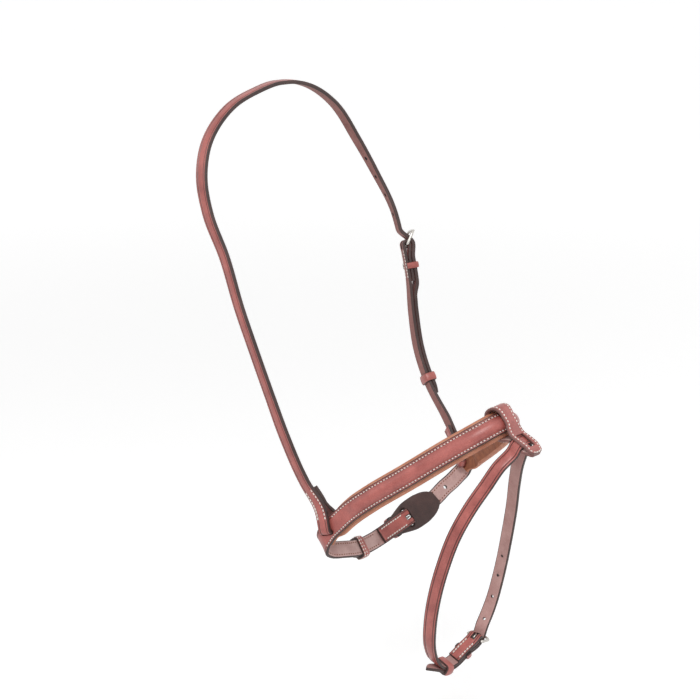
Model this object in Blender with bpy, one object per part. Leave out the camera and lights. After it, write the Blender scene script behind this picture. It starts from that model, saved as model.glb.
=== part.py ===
"""Round noseband with a flash strap for a full-size horse, as it hangs from the poll.

Metres, +Z up. The origin is under the middle of the sliphead, where it rests on the poll.
The horse looks along -Y, so -X is the side of the long sliphead and +X the side of the cheek buckle.

Every strap is laid along a route: a smooth line with a direction across the strap at each place.
A spot on a strap is given by its distance along the route, across it, and out from it.
"""

import math

import bmesh
import bpy
from mathutils import Vector
from mathutils.geometry import interpolate_bezier

# The head that the noseband goes round.
POLL_HALF_WIDTH = 0.115
SLOT_HALF_WIDTH = 0.095
SLOT_DROP = 0.358
SLOT_REACH = 0.152
NOSE_REACH = 0.156
CHIN_REACH = 0.0385
CHIN_DROOP = 0.030
RING_PITCH = math.radians(38.5)
FLASH_HALF_WIDTH = 0.057
FLASH_LENGTH = 0.240
FLASH_LEAN = math.radians(18)
FLASH_SWING_BACK = 0.010

# Leather and metal stock.
GAP = 0.0003
LAYER_GAP = 0.0005
SLACK = 0.0006
STRAP_THICKNESS = 0.003
EDGE_BEVEL = 0.0007
WIRE_RADIUS = 0.0013
TONGUE_RADIUS = 0.0009
FRAME_LENGTH = 0.0145
FRAME_SIDE_CLEARANCE = 0.0009
FRAME_CORNER = 0.0042
CHEEK_FRAME_TILT = math.radians(35)
CHIN_FRAME_TILT = math.radians(34)
FLASH_FRAME_TILT = math.radians(54)
HOLE_RADIUS = 0.0018
TONGUE_SLOT_LENGTH = 0.0066
TONGUE_SLOT_WIDTH = 0.0032
NOTCH_WIDTH = 0.0046
FOLD_EASE = 0.014
BILLET_RISE = 0.0165
KEEPER_LENGTH = 0.009
SMALL_KEEPER_LENGTH = 0.006
KEEPER_THICKNESS = 0.0018
KEEPER_CORNER = 0.0012

# Noseband: one long strap, with the raise formed in its nose part.
BAND_WIDTH = 0.018
CHIN_WIDTH = 0.016
RAISE_WIDTH = 0.0115
RAISE_HEIGHT = 0.0036
RAISE_FADE = 0.014
RAISE_INSET = 0.028
BACKING_THICKNESS = 0.0012
BAND_TAPER = 0.018
SLOT_LENGTH = 0.0145
SLOT_SPARE = 0.0012
CHIN_TAB_LENGTH = 0.033
CHIN_FIXED_KEEPER_AT = 0.016
CHIN_RUNNER_AT = 0.064
CHIN_BILLET_LENGTH = 0.084
CHIN_HOLE_PITCH = 0.020
CHIN_HOLE_FIRST = 0.053
CHIN_HOLES = 3

# Padded lining, rolled over at both edges.
LINING_WIDTH = 0.0238
LINING_SKIN = 0.0011
LINING_DEPTH = 0.0062
LINING_END_DEPTH = 0.0027
LINING_LIP = 0.0050
LINING_FADE = 0.016
LINING_UPPER_SPREAD = 0.042
LINING_LOWER_SPREAD = 0.014
LINING_PAST_SLOT = 0.0095
FOAM_INSET = 0.028

# Chin guard.
PAD_LENGTH = 0.068
PAD_WIDTH = 0.0295
PAD_THICKNESS = 0.0024
PAD_BEHIND_BAR = 0.030

# Sliphead and cheek strap.
CHEEK_WIDTH = 0.0125
CHEEK_THICKNESS = 0.0036
CHEEK_STRAP_THICKNESS = 0.003
HANGER_PLY_LENGTH = 0.034
HANGER_CORNER = 0.0024
HANGER_LEAN = 0.25
HANGER_STAND = 0.0018
HANGER_PASS_SHARE = 0.72
HANGER_CLOSE_SHARE = 0.9
CHEEK_BUCKLE_DROP = 0.163
CHEEK_TAB_LENGTH = 0.036
CHEEK_FIXED_KEEPER_AT = 0.021
CHEEK_RUNNER_AT = 0.135
CHEEK_BILLET_LENGTH = 0.152
CHEEK_HOLE_PITCH = 0.0205
CHEEK_HOLES_ABOVE = 4
CHEEK_HOLES_BELOW = 4
CHEEK_HOLE_FIRST_BELOW = 0.034

# Flash loop, hung on the nose of the band, and its strap.
FLASH_WIDTH = 0.0125
FLASH_THICKNESS = 0.0028
LOOP_THICKNESS = 0.0024
LOOP_WIDTH = 0.020
LOOP_TAB_WIDTH = 0.023
LOOP_TAB_LENGTH = 0.027
LOOP_TAB_TILT = math.radians(27)
LOOP_CORNER = 0.005
LOOP_BRIDGE = 0.0046
WINDOW_LENGTH = 0.0150
WINDOW_WIDTH = 0.0095
FLASH_FOLD_RADIUS = 0.0028
FLASH_TAB_LENGTH = 0.030
FLASH_FIXED_KEEPER_AT = 0.017
FLASH_RUNNER_AT = 0.042
FLASH_BILLET_LENGTH = 0.064
FLASH_HOLE_PITCH = 0.0225
FLASH_HOLE_FIRST = 0.0195
FLASH_HOLES = 4
FLASH_SPRING_RADIUS = 0.020

# The bend of the flash strap at its bridge: how far past the bridge and how far through the
# slit, as shares of its fold radius.
BRIDGE_TURN_SHARES = ((0.95, 0.90), (0.62, 0.26), (0.0, 0.0))

# The tongue's stations from its tip to the bar, its tip's thinness, and its eye.
TONGUE_SHARES = (1.0, 0.97, 0.7, 0.4, 0.2)
TONGUE_TIP_SHARE = 0.6
TONGUE_EYE_STEPS = 10
TONGUE_EYE_TURN = 255

# A strap's pointed end: how far along it, and how wide, as shares of its width.
TIP_SHARES = ((0.0, 1.0), (0.55, 0.72), (0.9, 0.32), (1.0, 0.14))
BILLET_TIP_SHARES = ((0.5, 0.86), (0.85, 0.5), (1.0, 0.2))

# How finely the curves are cut.
WIRE_SIDES = 8
STEP = 0.012
FINE_STEP = 0.004
BEND_STEP = math.radians(9)
ARC_STEPS = 4
SPAN_STEPS = 16

# Places round the noseband, from the chin buckle's bar along the near cheek, over the nose and
# back along the far cheek: side as a share of SLOT_HALF_WIDTH, forward as a share of NOSE_REACH
# (of CHIN_REACH behind the slots), and droop as a share of CHIN_DROOP.
RING_SHARES = (
    (0.211, -0.855, 0.81),
    (0.0, -0.97, 0.915),
    (-0.250, -1.03, 1.03),
    (-0.484, -0.95, 1.05),
    (-0.720, -0.83, 0.93),
    (-0.895, -0.75, 0.79),
    (-0.985, -0.62, 0.63),
    (-1.015, -0.42, 0.49),
    (-1.005, -0.22, 0.38),
    (-0.985, 0.03, 0.29),
    (-0.950, 0.125, 0.20),
    (-0.885, 0.27, 0.15),
    (-0.705, 0.51, 0.13),
    (-0.445, 0.755, 0.07),
    (-0.215, 0.925, 0.04),
    (-0.105, 0.963, 0.02),
    (0.0, 0.968, 0.01),
    (0.105, 0.960, 0.0),
    (0.215, 0.917, 0.0),
    (0.355, 0.835, 0.01),
    (0.485, 0.725, 0.03),
    (0.716, 0.442, 0.03),
    (0.820, 0.302, 0.01),
    (0.895, 0.180, 0.0),
    (0.941, 0.095, 0.0),
    (0.970, 0.050, 0.01),
    (0.992, -0.03, 0.05),
    (0.985, -0.18, 0.15),
    (0.925, -0.31, 0.24),
    (0.842, -0.36, 0.33),
    (0.720, -0.41, 0.43),
    (0.589, -0.55, 0.59),
    (0.442, -0.68, 0.69),
)
NEAR_SLOT_KNOT = 8
NOSE_KNOT = 16
FAR_SLOT_KNOT = 25

# Places up the near cheek, over the poll and down the far cheek: side as a share of
# POLL_HALF_WIDTH, forward as a share of SLOT_REACH, drop as a share of SLOT_DROP, and how far
# the strap's front edge turns in towards the head.
HEAD_SHARES = (
    (-0.887, 0.861, 0.926, 0.0),
    (-0.935, 0.735, 0.817, -0.02),
    (-0.957, 0.630, 0.718, -0.08),
    (-0.977, 0.510, 0.605, -0.10),
    (-0.985, 0.410, 0.515, -0.10),
    (-0.990, 0.290, 0.390, -0.08),
    (-0.985, 0.150, 0.290, -0.04),
    (-0.945, 0.070, 0.205, 0.0),
    (-0.840, 0.025, 0.130, 0.0),
    (-0.580, 0.005, 0.050, 0.0),
    (-0.280, 0.0, 0.014, 0.0),
    (-0.045, 0.0, 0.0, 0.0),
    (0.0, 0.0, 0.0, 0.0),
    (0.045, 0.0, 0.0, 0.0),
    (0.280, 0.0, 0.014, 0.0),
    (0.580, 0.005, 0.070, 0.0),
    (0.830, 0.030, 0.175, -0.05),
    (0.950, 0.105, 0.265, -0.25),
    (1.005, 0.225, 0.360, -0.48),
    (1.013, 0.305, 0.455, -0.60),
    (1.003, 0.372, 0.550, -0.60),
    (0.988, 0.412, 0.645, -0.46),
    (0.968, 0.480, 0.745, -0.36),
    (0.950, 0.592, 0.830, -0.33),
    (0.920, 0.760, 0.905, -0.30),
)
POLL_KNOT = 15

# Places round the flash strap, from its buckle's bar up the near side, over the bridge in the
# loop and down the far side: side as a share of FLASH_HALF_WIDTH, drop as a share of
# FLASH_LENGTH, swing back as a share of FLASH_SWING_BACK, and turn of the front edge.
FLASH_SHARES = (
    (0.351, 0.923, -0.72, 0.0),
    (0.088, 0.956, -0.82, 0.0),
    (-0.158, 0.983, -0.88, 0.03),
    (-0.385, 0.982, -0.80, 0.08),
    (-0.595, 0.941, -0.58, 0.15),
    (-0.775, 0.866, -0.32, 0.22),
    (-0.880, 0.767, -0.05, 0.26),
    (-0.935, 0.652, 0.20, 0.28),
    (-0.905, 0.495, 0.50, 0.28),
    (-0.815, 0.362, 0.62, 0.28),
    (-0.665, 0.258, 0.55, 0.25),
    (-0.490, 0.164, 0.35, 0.18),
    (-0.350, 0.090, 0.20, 0.10),
)
FLASH_SHARES_DOWN = (
    (0.235, 0.120, 0.50, 0.0),
    (0.404, 0.218, 0.80, 0.0),
    (0.632, 0.375, 0.92, 0.0),
    (0.760, 0.523, 0.85, 0.0),
    (0.838, 0.628, 0.80, 0.0),
    (0.850, 0.722, 0.62, 0.0),
    (0.785, 0.806, 0.28, 0.0),
    (0.610, 0.866, -0.22, 0.0),
    (0.490, 0.893, -0.50, 0.0),
)


# Pieces that nod together about the line through the two cheek slots.
NODDING_PIECES = (
    "noseband_strap", "backing_strip", "filler_cord", "lining_skin", "lining_foam", "chin_guard",
    "chin_fixed_keeper",
)


def direction(x, y, z):
    """A unit vector."""
    return Vector((x, y, z)).normalized()


ACROSS_NOSE = direction(0, -math.sin(RING_PITCH), -math.cos(RING_PITCH))
ALONG_NOSE = direction(0, -math.cos(RING_PITCH), math.sin(RING_PITCH))
SLOT_MIDDLE = Vector((0, -SLOT_REACH, -SLOT_DROP))
FORWARD = Vector((0, -1, 0))


def clear_scene():
    """Remove every object, so that the script can be run again."""
    for obj in list(bpy.data.objects):
        bpy.data.objects.remove(obj, do_unlink=True)


def material(name, colour, roughness, metallic=0.0):
    """A Principled material in one colour."""
    made = bpy.data.materials.new(name)
    made.use_nodes = True
    shader = made.node_tree.nodes["Principled BSDF"]
    shader.inputs["Base Color"].default_value = (*colour, 1.0)
    shader.inputs["Roughness"].default_value = roughness
    shader.inputs["Metallic"].default_value = metallic
    return made


def leather(name):
    """Reddish brown bridle leather."""
    return material(name + "_leather", (0.42, 0.13, 0.11), 0.45)


def steel(name):
    """Polished stainless steel."""
    return material(name + "_steel", (0.62, 0.60, 0.57), 0.22, 1.0)


def ease(value):
    """A smooth step from 0 to 1."""
    share = min(1.0, max(0.0, value))
    return share * share * (3.0 - 2.0 * share)


class Route:
    """A smooth line with a direction across at every place along it."""

    def __init__(self, knots, acrosses, closed=False):
        """Join the knots by Bezier spans whose handles follow the neighbouring knots."""
        self.closed = closed
        self.points = []
        self.acrosses = []
        self.knot_at = []
        spans = len(knots) if closed else len(knots) - 1
        for index in range(spans):
            self.knot_at.append(len(self.points))
            self._add_span(knots, acrosses, index)
        if not closed:
            self.knot_at.append(len(self.points))
        last = 0 if closed else len(knots) - 1
        self.points.append(knots[last].copy())
        self.acrosses.append(acrosses[last].copy())
        self.lengths = [0.0]
        for before, after in zip(self.points, self.points[1:]):
            self.lengths.append(self.lengths[-1] + (after - before).length)
        self.total = self.lengths[-1]
        self.stations = self._spread()

    def _spread(self):
        """Distances along at which every layer on this route has a cross-section."""
        stations = [0.0]
        turned = 0.0
        for index in range(1, len(self.points) - 1):
            before = self.points[index] - self.points[index - 1]
            after = self.points[index + 1] - self.points[index]
            turned += before.angle(after) + self.acrosses[index - 1].angle(self.acrosses[index])
            far = self.lengths[index] - stations[-1]
            if turned > BEND_STEP and far > FINE_STEP / 2 or far > STEP:
                stations.append(self.lengths[index])
                turned = 0.0
        return stations

    def _slope(self, knots, index):
        """Direction of travel at a knot, by the two chords beside it."""
        count = len(knots)
        if self.closed:
            before = knots[(index - 1) % count]
            after = knots[(index + 1) % count]
        else:
            before = knots[max(0, index - 1)]
            after = knots[min(count - 1, index + 1)]
        here = knots[index % count]
        back = (here - before).length
        front = (after - here).length
        if back == 0:
            return (after - here) / front
        if front == 0:
            return (here - before) / back
        slope = (here - before) / back * front + (after - here) / front * back
        return slope / (back + front)

    def _add_span(self, knots, acrosses, index):
        """Points of one Bezier span, without its last one."""
        count = len(knots)
        start = knots[index]
        end = knots[(index + 1) % count]
        handle = (end - start).length / 3.0
        first = start + self._slope(knots, index) * handle
        second = end - self._slope(knots, (index + 1) % count) * handle
        spots = interpolate_bezier(start, first, second, end, SPAN_STEPS + 1)
        for step in range(SPAN_STEPS):
            share = step / SPAN_STEPS
            across = acrosses[index].lerp(acrosses[(index + 1) % count], share)
            self.points.append(spots[step].copy())
            self.acrosses.append(across)

    def knot(self, index):
        """Distance along the route of a knot."""
        return self.lengths[self.knot_at[index]]

    def _locate(self, along):
        """The span that holds a distance along, and the share of it."""
        low = 0
        high = len(self.lengths) - 2
        while low < high:
            middle = (low + high + 1) // 2
            if self.lengths[middle] <= along:
                low = middle
            else:
                high = middle - 1
        length = self.lengths[low + 1] - self.lengths[low]
        return low, (along - self.lengths[low]) / length

    def point(self, along):
        """The middle of the route at a distance along; past an open end it runs on straight."""
        if self.closed:
            along = along % self.total
        low, share = self._locate(along)
        return self.points[low].lerp(self.points[low + 1], share)

    def frame(self, along):
        """The point, and the unit directions along, across and out."""
        reach = FINE_STEP / 2
        tangent = (self.point(along + reach) - self.point(along - reach)).normalized()
        place = along % self.total if self.closed else min(self.total, max(0.0, along))
        low, share = self._locate(place)
        across = self.acrosses[low].lerp(self.acrosses[low + 1], min(1.0, share))
        across = (across - tangent * across.dot(tangent)).normalized()
        return self.point(along), tangent, across, across.cross(tangent)

    def spot(self, along, across=0.0, out=0.0):
        """A point given by its distances along, across and out."""
        point, _, side, outward = self.frame(along)
        return point + side * across + outward * out


def mesh_object(name, points, faces, skin, smooth=True):
    """A mesh object with its faces turned outward."""
    mesh = bpy.data.meshes.new(name)
    mesh.from_pydata([tuple(point) for point in points], [], faces)
    work = bmesh.new()
    work.from_mesh(mesh)
    bmesh.ops.remove_doubles(work, verts=work.verts, dist=GAP / 30)
    bmesh.ops.recalc_face_normals(work, faces=work.faces)
    work.to_mesh(mesh)
    work.free()
    obj = bpy.data.objects.new(name, mesh)
    bpy.context.scene.collection.objects.link(obj)
    if skin is not None:
        mesh.materials.append(skin)
    if smooth:
        mesh.shade_smooth()
        mesh.set_sharp_from_angle(angle=math.radians(40))
    return obj


def pin(obj, place):
    """Put a piece's origin on the line it moves about, without moving the piece."""
    for vertex in obj.data.vertices:
        vertex.co -= place
    obj.location = place
    return obj


def loft(name, rings, skin, closed=False):
    """Skin a row of rings that have the same number of points, capped unless it is closed."""
    count = len(rings[0])
    points = [point for ring in rings for point in ring]
    faces = []
    spans = len(rings) if closed else len(rings) - 1
    for row in range(spans):
        here = row * count
        there = ((row + 1) % len(rings)) * count
        for column in range(count):
            follow = (column + 1) % count
            faces.append((here + column, here + follow, there + follow, there + column))
    if not closed:
        faces.append(tuple(range(count)))
        faces.append(tuple(range(len(points) - count, len(points))))
    return mesh_object(name, points, faces, skin)


def strap_profile(width, thickness):
    """Across and out distances round a flat strap with bevelled edges."""
    half = width / 2
    rise = thickness / 2
    bevel = min(EDGE_BEVEL, thickness / 4)
    return (
        (-half + bevel, rise),
        (half - bevel, rise),
        (half, rise - bevel),
        (half, bevel - rise),
        (half - bevel, -rise),
        (-half + bevel, -rise),
        (-half, bevel - rise),
        (-half, rise - bevel),
    )


def layer_ring(route, along, out, lean, profile):
    """A cross-section on a route, its face tipped by the slope of the layer's path."""
    point, tangent, side, outward = route.frame(along)
    middle = point + outward * out
    normal = outward * math.cos(lean) - tangent * math.sin(lean)
    return [middle + side * across + normal * rise for across, rise in profile]


def path_leans(path):
    """The slope of a path of (along, out) places, at each of them."""
    leans = []
    for index in range(len(path)):
        before = path[max(0, index - 1)]
        after = path[min(len(path) - 1, index + 1)]
        leans.append(math.atan2(after[1] - before[1], after[0] - before[0]))
    return leans


def layer_rings(route, path, profile_at):
    """Cross-sections of a strap whose path is given along and out from a route."""
    rings = []
    for (along, out), lean in zip(path, path_leans(path)):
        rings.append(layer_ring(route, along, out, lean, profile_at(along)))
    return rings


def stretch(route, start, end, out_at):
    """Places at the route's own stations from start to end, at a level that a function gives."""
    places = [(start, out_at(start))]
    for turn in (0, 1):
        for station in route.stations:
            along = station + route.total * turn
            if start + FINE_STEP / 3 < along < end - FINE_STEP / 3:
                places.append((along, out_at(along)))
    places.append((end, out_at(end)))
    return places


def run(start, end, out_at, step):
    """Places from start to end at a level that a function gives."""
    count = max(1, math.ceil(abs(end - start) / step))
    places = []
    for index in range(count + 1):
        along = start + (end - start) * index / count
        places.append((along, out_at(along)))
    return places


def arc(centre_along, centre_out, radius, start, end, steps=ARC_STEPS):
    """Places on an arc; angles are in degrees from the direction of the route."""
    places = []
    for index in range(steps + 1):
        angle = math.radians(start + (end - start) * index / steps)
        places.append((centre_along + radius * math.cos(angle), centre_out + radius * math.sin(angle)))
    return places


def tip_rings(route, start, level, width, thickness):
    """Closing cross-sections of a strap end, narrowed to a point; they follow a level."""
    path = [(start + width * reach, level(start + width * reach)) for reach, _ in TIP_SHARES]
    rings = []
    for (along, out), lean, (_, narrow) in zip(path, path_leans(path), TIP_SHARES):
        rings.append(layer_ring(route, along, out, lean, strap_profile(width * narrow, thickness)))
    return rings


def cutter(name, rings_list):
    """One hidden cutting body made of separate prisms."""
    points = []
    faces = []
    for bottom, top in rings_list:
        base = len(points)
        count = len(bottom)
        points.extend(bottom + top)
        faces.append(tuple(base + index for index in range(count)))
        faces.append(tuple(base + count + index for index in range(count)))
        for index in range(count):
            follow = (index + 1) % count
            faces.append((base + index, base + follow, base + count + follow, base + count + index))
    obj = mesh_object(name, points, faces, None, smooth=False)
    obj.hide_render = True
    obj.display_type = "WIRE"
    return obj


def prism(route, along, out, depth, outline):
    """A prism through a strap; the outline is in distances along and across."""
    point, tangent, side, outward = route.frame(along)
    bottom = []
    top = []
    for reach, across in outline:
        spot = point + tangent * reach + side * across + outward * out
        bottom.append(spot - outward * depth)
        top.append(spot + outward * depth)
    return bottom, top


def round_outline(radius, sides=8):
    """Outline of a punched hole."""
    outline = []
    for index in range(sides):
        angle = 2.0 * math.pi * index / sides
        outline.append((radius * math.cos(angle), radius * math.sin(angle)))
    return outline


def slot_outline(length, width):
    """Outline of an oblong cut with bevelled corners."""
    x = length / 2
    y = width / 2
    bevel = min(x, y) / 3
    return [
        (-x + bevel, -y), (x - bevel, -y), (x, -y + bevel), (x, y - bevel),
        (x - bevel, y), (-x + bevel, y), (-x, y - bevel), (-x, -y + bevel),
    ]


def cut(obj, tool, solver="EXACT"):
    """Cut a body with a hidden cutter; MANIFOLD is for the thin tray that EXACT loses."""
    modifier = obj.modifiers.new("cut", "BOOLEAN")
    modifier.operation = "DIFFERENCE"
    modifier.solver = solver
    modifier.object = tool


def ring_point(side_share, forward_share, droop_share):
    """A place on the noseband, from its shares of the head's sizes."""
    reach = NOSE_REACH if forward_share > 0 else CHIN_REACH
    point = SLOT_MIDDLE + Vector((SLOT_HALF_WIDTH * side_share, 0, 0))
    return point + ALONG_NOSE * reach * forward_share + ACROSS_NOSE * CHIN_DROOP * droop_share


def ring_route():
    """The closed line of the noseband."""
    knots = [ring_point(*shares) for shares in RING_SHARES]
    return Route(knots, [ACROSS_NOSE.copy() for _ in knots], closed=True)


RING = ring_route()
NEAR_SLOT = RING.knot(NEAR_SLOT_KNOT)
NOSE = RING.knot(NOSE_KNOT)
FAR_SLOT = RING.knot(FAR_SLOT_KNOT)


def band_half_thickness():
    """Half of the band's leather, without its lining."""
    return STRAP_THICKNESS / 2


def lining_depth_at(along):
    """Depth of the lining under the leather, thinner towards its ends."""
    start = NEAR_SLOT - LINING_PAST_SLOT + FOAM_INSET
    end = FAR_SLOT + LINING_PAST_SLOT - FOAM_INSET
    fade = min(ease((along - start) / LINING_FADE), ease((end - along) / LINING_FADE))
    return LINING_END_DEPTH + (LINING_DEPTH - LINING_END_DEPTH) * fade


def lining_reach(along, spread):
    """Half the lining's width, no wider than the strap at the slots, spread over a length."""
    fade = min(ease((along - NEAR_SLOT) / spread), ease((FAR_SLOT - along) / spread))
    return (BAND_WIDTH + (LINING_WIDTH - BAND_WIDTH) * fade) / 2


def lining_top():
    """Level of the lining's lips under the leather and its backing."""
    return -band_half_thickness() - GAP - BACKING_THICKNESS - GAP


HANGER_OUT = STRAP_THICKNESS / 2 + GAP + CHEEK_THICKNESS / 2
HANGER_IN = lining_top() - LINING_END_DEPTH - HANGER_STAND - CHEEK_THICKNESS / 2
HANGER_STEP = HANGER_OUT - HANGER_IN


def slot_anchor(slot, head, sign):
    """The slot's middle on the hanger's own line, with its directions up and across."""
    point, _, side, outward = RING.frame(slot)
    start = point + outward * HANGER_OUT
    up = (head - start).normalized() + side * HANGER_LEAN
    up = (up - outward * up.dot(outward)).normalized()
    return start, up, up.cross(outward) * sign


def head_point(side_share, forward_share, drop_share):
    """A place on the sliphead, from its shares of the head's sizes."""
    return Vector((
        POLL_HALF_WIDTH * side_share,
        -SLOT_REACH * forward_share,
        CHEEK_THICKNESS / 2 - SLOT_DROP * drop_share,
    ))


def head_route():
    """The line from the near slot up over the poll and down to the far slot."""
    near, near_up, near_across = slot_anchor(NEAR_SLOT, head_point(*HEAD_SHARES[0][:3]), 1)
    far, far_up, far_across = slot_anchor(FAR_SLOT, head_point(*HEAD_SHARES[-1][:3]), -1)
    low = BAND_WIDTH
    high = BAND_WIDTH / 2 + HANGER_STEP
    knots = [near - near_up * low, near, near + near_up * high]
    acrosses = [near_across] * 3
    for side_share, forward_share, drop_share, turn in HEAD_SHARES:
        knots.append(head_point(side_share, forward_share, drop_share))
        acrosses.append(direction(turn, -1, 0))
    knots.extend([far + far_up * high, far, far - far_up * low])
    acrosses.extend([far_across] * 3)
    return Route(knots, acrosses)


HEAD = head_route()
HEAD_NEAR_SLOT = HEAD.knot(1)
HEAD_POLL = HEAD.knot(POLL_KNOT)
SEAT_START = HEAD.knot(POLL_KNOT - 1)
SEAT_END = HEAD.knot(POLL_KNOT + 1)
HEAD_FAR_SLOT = HEAD.knot(len(HEAD_SHARES) + 4)


def drop_along(route, drop, start):
    """Distance along a route, past start, where it has come down to a drop."""
    along = start
    while route.point(along).z > -drop:
        along += GAP
    return along


CHEEK_BAR = drop_along(HEAD, CHEEK_BUCKLE_DROP, HEAD_POLL)


def flash_anchor():
    """The middle of the bridge that the flash strap passes over, with the tab's directions."""
    point, tangent, side, outward = RING.frame(NOSE)
    down = side * math.cos(LOOP_TAB_TILT) + outward * math.sin(LOOP_TAB_TILT)
    face = outward * math.cos(LOOP_TAB_TILT) - side * math.sin(LOOP_TAB_TILT)
    hinge = point + side * (LINING_WIDTH / 2 + SLACK) + outward * (STRAP_THICKNESS / 2)
    return hinge, down, face, tangent


TAB_HINGE, TAB_DOWN, TAB_FACE, TAB_SIDE = flash_anchor()
FLASH_DOWN = direction(0, math.sin(FLASH_LEAN), -math.cos(FLASH_LEAN))
FLASH_BACK = direction(0, math.cos(FLASH_LEAN), math.sin(FLASH_LEAN))
BRIDGE_AT = LOOP_TAB_LENGTH * 0.42


def flash_point(side_share, drop_share, back_share):
    """A place on the flash strap, from its shares of its loop's sizes."""
    top = TAB_HINGE + TAB_DOWN * BRIDGE_AT
    point = top + Vector((FLASH_HALF_WIDTH * side_share, 0, 0)) + FLASH_DOWN * FLASH_LENGTH * drop_share
    return point + FLASH_BACK * FLASH_SWING_BACK * back_share


def flash_across(turn):
    """Direction across the flash strap, its front edge turned to the far side."""
    return (Vector((turn, 0, 0)) - FLASH_BACK).normalized()


def bridge_knots():
    """Places where the flash strap turns through the two slits in the loop's back ply."""
    top = TAB_HINGE + TAB_DOWN * BRIDGE_AT
    leg = LOOP_BRIDGE + FLASH_FOLD_RADIUS
    places = []
    for share, fall in BRIDGE_TURN_SHARES:
        places.append((LOOP_BRIDGE + FLASH_FOLD_RADIUS * share, FLASH_FOLD_RADIUS * fall))
    places.insert(0, (leg, FLASH_FOLD_RADIUS * 2 + LOOP_THICKNESS))
    near = [top - TAB_SIDE * across - TAB_FACE * fall for across, fall in places]
    far = [top + TAB_SIDE * across - TAB_FACE * fall for across, fall in places]
    return near + far[::-1]


def flash_route():
    """The closed line of the flash strap."""
    up = [flash_point(*shares[:3]) for shares in FLASH_SHARES]
    over = bridge_knots()
    down = [flash_point(*shares[:3]) for shares in FLASH_SHARES_DOWN]
    acrosses = [flash_across(shares[3]) for shares in FLASH_SHARES]
    acrosses.extend([TAB_DOWN.copy() for _ in over])
    acrosses.extend([flash_across(shares[3]) for shares in FLASH_SHARES_DOWN])
    return Route(up + over + down, acrosses, closed=True)


FLASH = flash_route()


def fold_radius(thickness):
    """Radius of a strap's middle round a buckle bar."""
    return WIRE_RADIUS + GAP + thickness / 2


def eye_reach():
    """How far the tongue's eye reaches from the middle of the bar, with its clearance."""
    return WIRE_RADIUS + GAP + TONGUE_RADIUS * 2 + GAP


def inside_level(thickness, along):
    """Level of a strap's main ply as it comes down from the bar of an inside fold."""
    over = WIRE_RADIUS - thickness / 2 + fold_radius(thickness)
    return over * (1 - ease(along / FOLD_EASE))


def inside_fold(route, thickness, tab_level, tab_length):
    """Path of a strap that is turned back inside the loop, from its tab round the bar."""
    radius = fold_radius(thickness)
    bar = WIRE_RADIUS - thickness / 2
    path = stretch(route, 0.0, tab_length, lambda _: tab_level)[::-1]
    path.extend(arc(0.0, tab_level + radius, radius, 270, 180)[1:])
    upper = arc(0.0, bar, radius, 180, 90)
    path.extend(upper if bar - tab_level - radius > GAP else upper[1:])
    path.extend(run(0.0, FOLD_EASE, lambda along: inside_level(thickness, along), FINE_STEP / 2)[1:])
    return path


def outside_level(thickness, tab_level, along):
    """Level of a turned-back ply as it comes down from the bar of an outside fold."""
    top = fold_radius(thickness) * 2
    return tab_level + (top - tab_level) * (1 - ease(along / FOLD_EASE))


def outside_fold(route, thickness, tab_level, tab_length, start):
    """Path of a strap that is turned back on its outer face, from its tab round the bar."""
    radius = fold_radius(thickness)

    def level(along):
        return outside_level(thickness, tab_level, along - start)

    path = stretch(route, start + FOLD_EASE, start + tab_length, lambda _: tab_level)[::-1]
    path.extend(run(start + FOLD_EASE, start, level, FINE_STEP / 2)[1:])
    path.extend(arc(start, radius, radius, 90, 270, ARC_STEPS * 2)[1:])
    return path


def billet_level(along, bar_at, under, over, seats):
    """Level of a billet that rises through a frame, over the bar and down to its seats."""
    if along < bar_at:
        return under + (over - under) * ease((along - bar_at + BILLET_RISE) / BILLET_RISE)
    level = over
    for start, seat in seats:
        level = level + (seat - level) * ease((along - bar_at - start) / FOLD_EASE)
    return level


def frame_axes(route, bar_at, bar_out, tilt):
    """A buckle's bar middle, with its directions along the frame, across it and out of it."""
    _, tangent, side, outward = route.frame(bar_at)
    bar = route.spot(bar_at, 0.0, bar_out)
    reach = outward * math.sin(tilt) - tangent * math.cos(tilt)
    face = outward * math.cos(tilt) + tangent * math.sin(tilt)
    return bar, reach, side, face


def frame_line(width):
    """The middle line of a buckle frame's wire: distances from the bar and across it."""
    half = width / 2 + FRAME_SIDE_CLEARANCE + WIRE_RADIUS
    corner = FRAME_CORNER
    heel = WIRE_RADIUS
    line = []
    for centre_u, centre_v, radius, start in (
        (FRAME_LENGTH - corner, half - corner, corner, 0),
        (heel, half - heel, heel, 90),
        (heel, heel - half, heel, 180),
        (FRAME_LENGTH - corner, corner - half, corner, 270),
    ):
        for step in range(ARC_STEPS):
            angle = math.radians(start + 90 * step / (ARC_STEPS - 1))
            line.append((centre_u + radius * math.cos(angle), centre_v + radius * math.sin(angle)))
    return line


def round_ring(centre, first, second, radius):
    """A cross-section of a round wire."""
    ring = []
    for turn in range(WIRE_SIDES):
        angle = 2 * math.pi * turn / WIRE_SIDES
        ring.append(centre + first * radius * math.cos(angle) + second * radius * math.sin(angle))
    return ring


def buckle_frame(name, route, bar_at, bar_out, tilt, width):
    """A round-wire buckle frame: a closed loop with round corners."""
    bar, reach, side, face = frame_axes(route, bar_at, bar_out, tilt)
    line = frame_line(width)
    rings = []
    for index, (u, v) in enumerate(line):
        after = line[(index + 1) % len(line)]
        before = line[index - 1]
        spoke = Vector((after[1] - before[1], before[0] - after[0])).normalized()
        centre = bar + reach * u + side * v
        rings.append(round_ring(centre, reach * spoke.x + side * spoke.y, face, WIRE_RADIUS))
    return loft(name, rings, steel(name), closed=True)


def tongue_wrap():
    """Distance of the tongue's middle from the middle of the bar."""
    return WIRE_RADIUS + GAP + TONGUE_RADIUS


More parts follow.
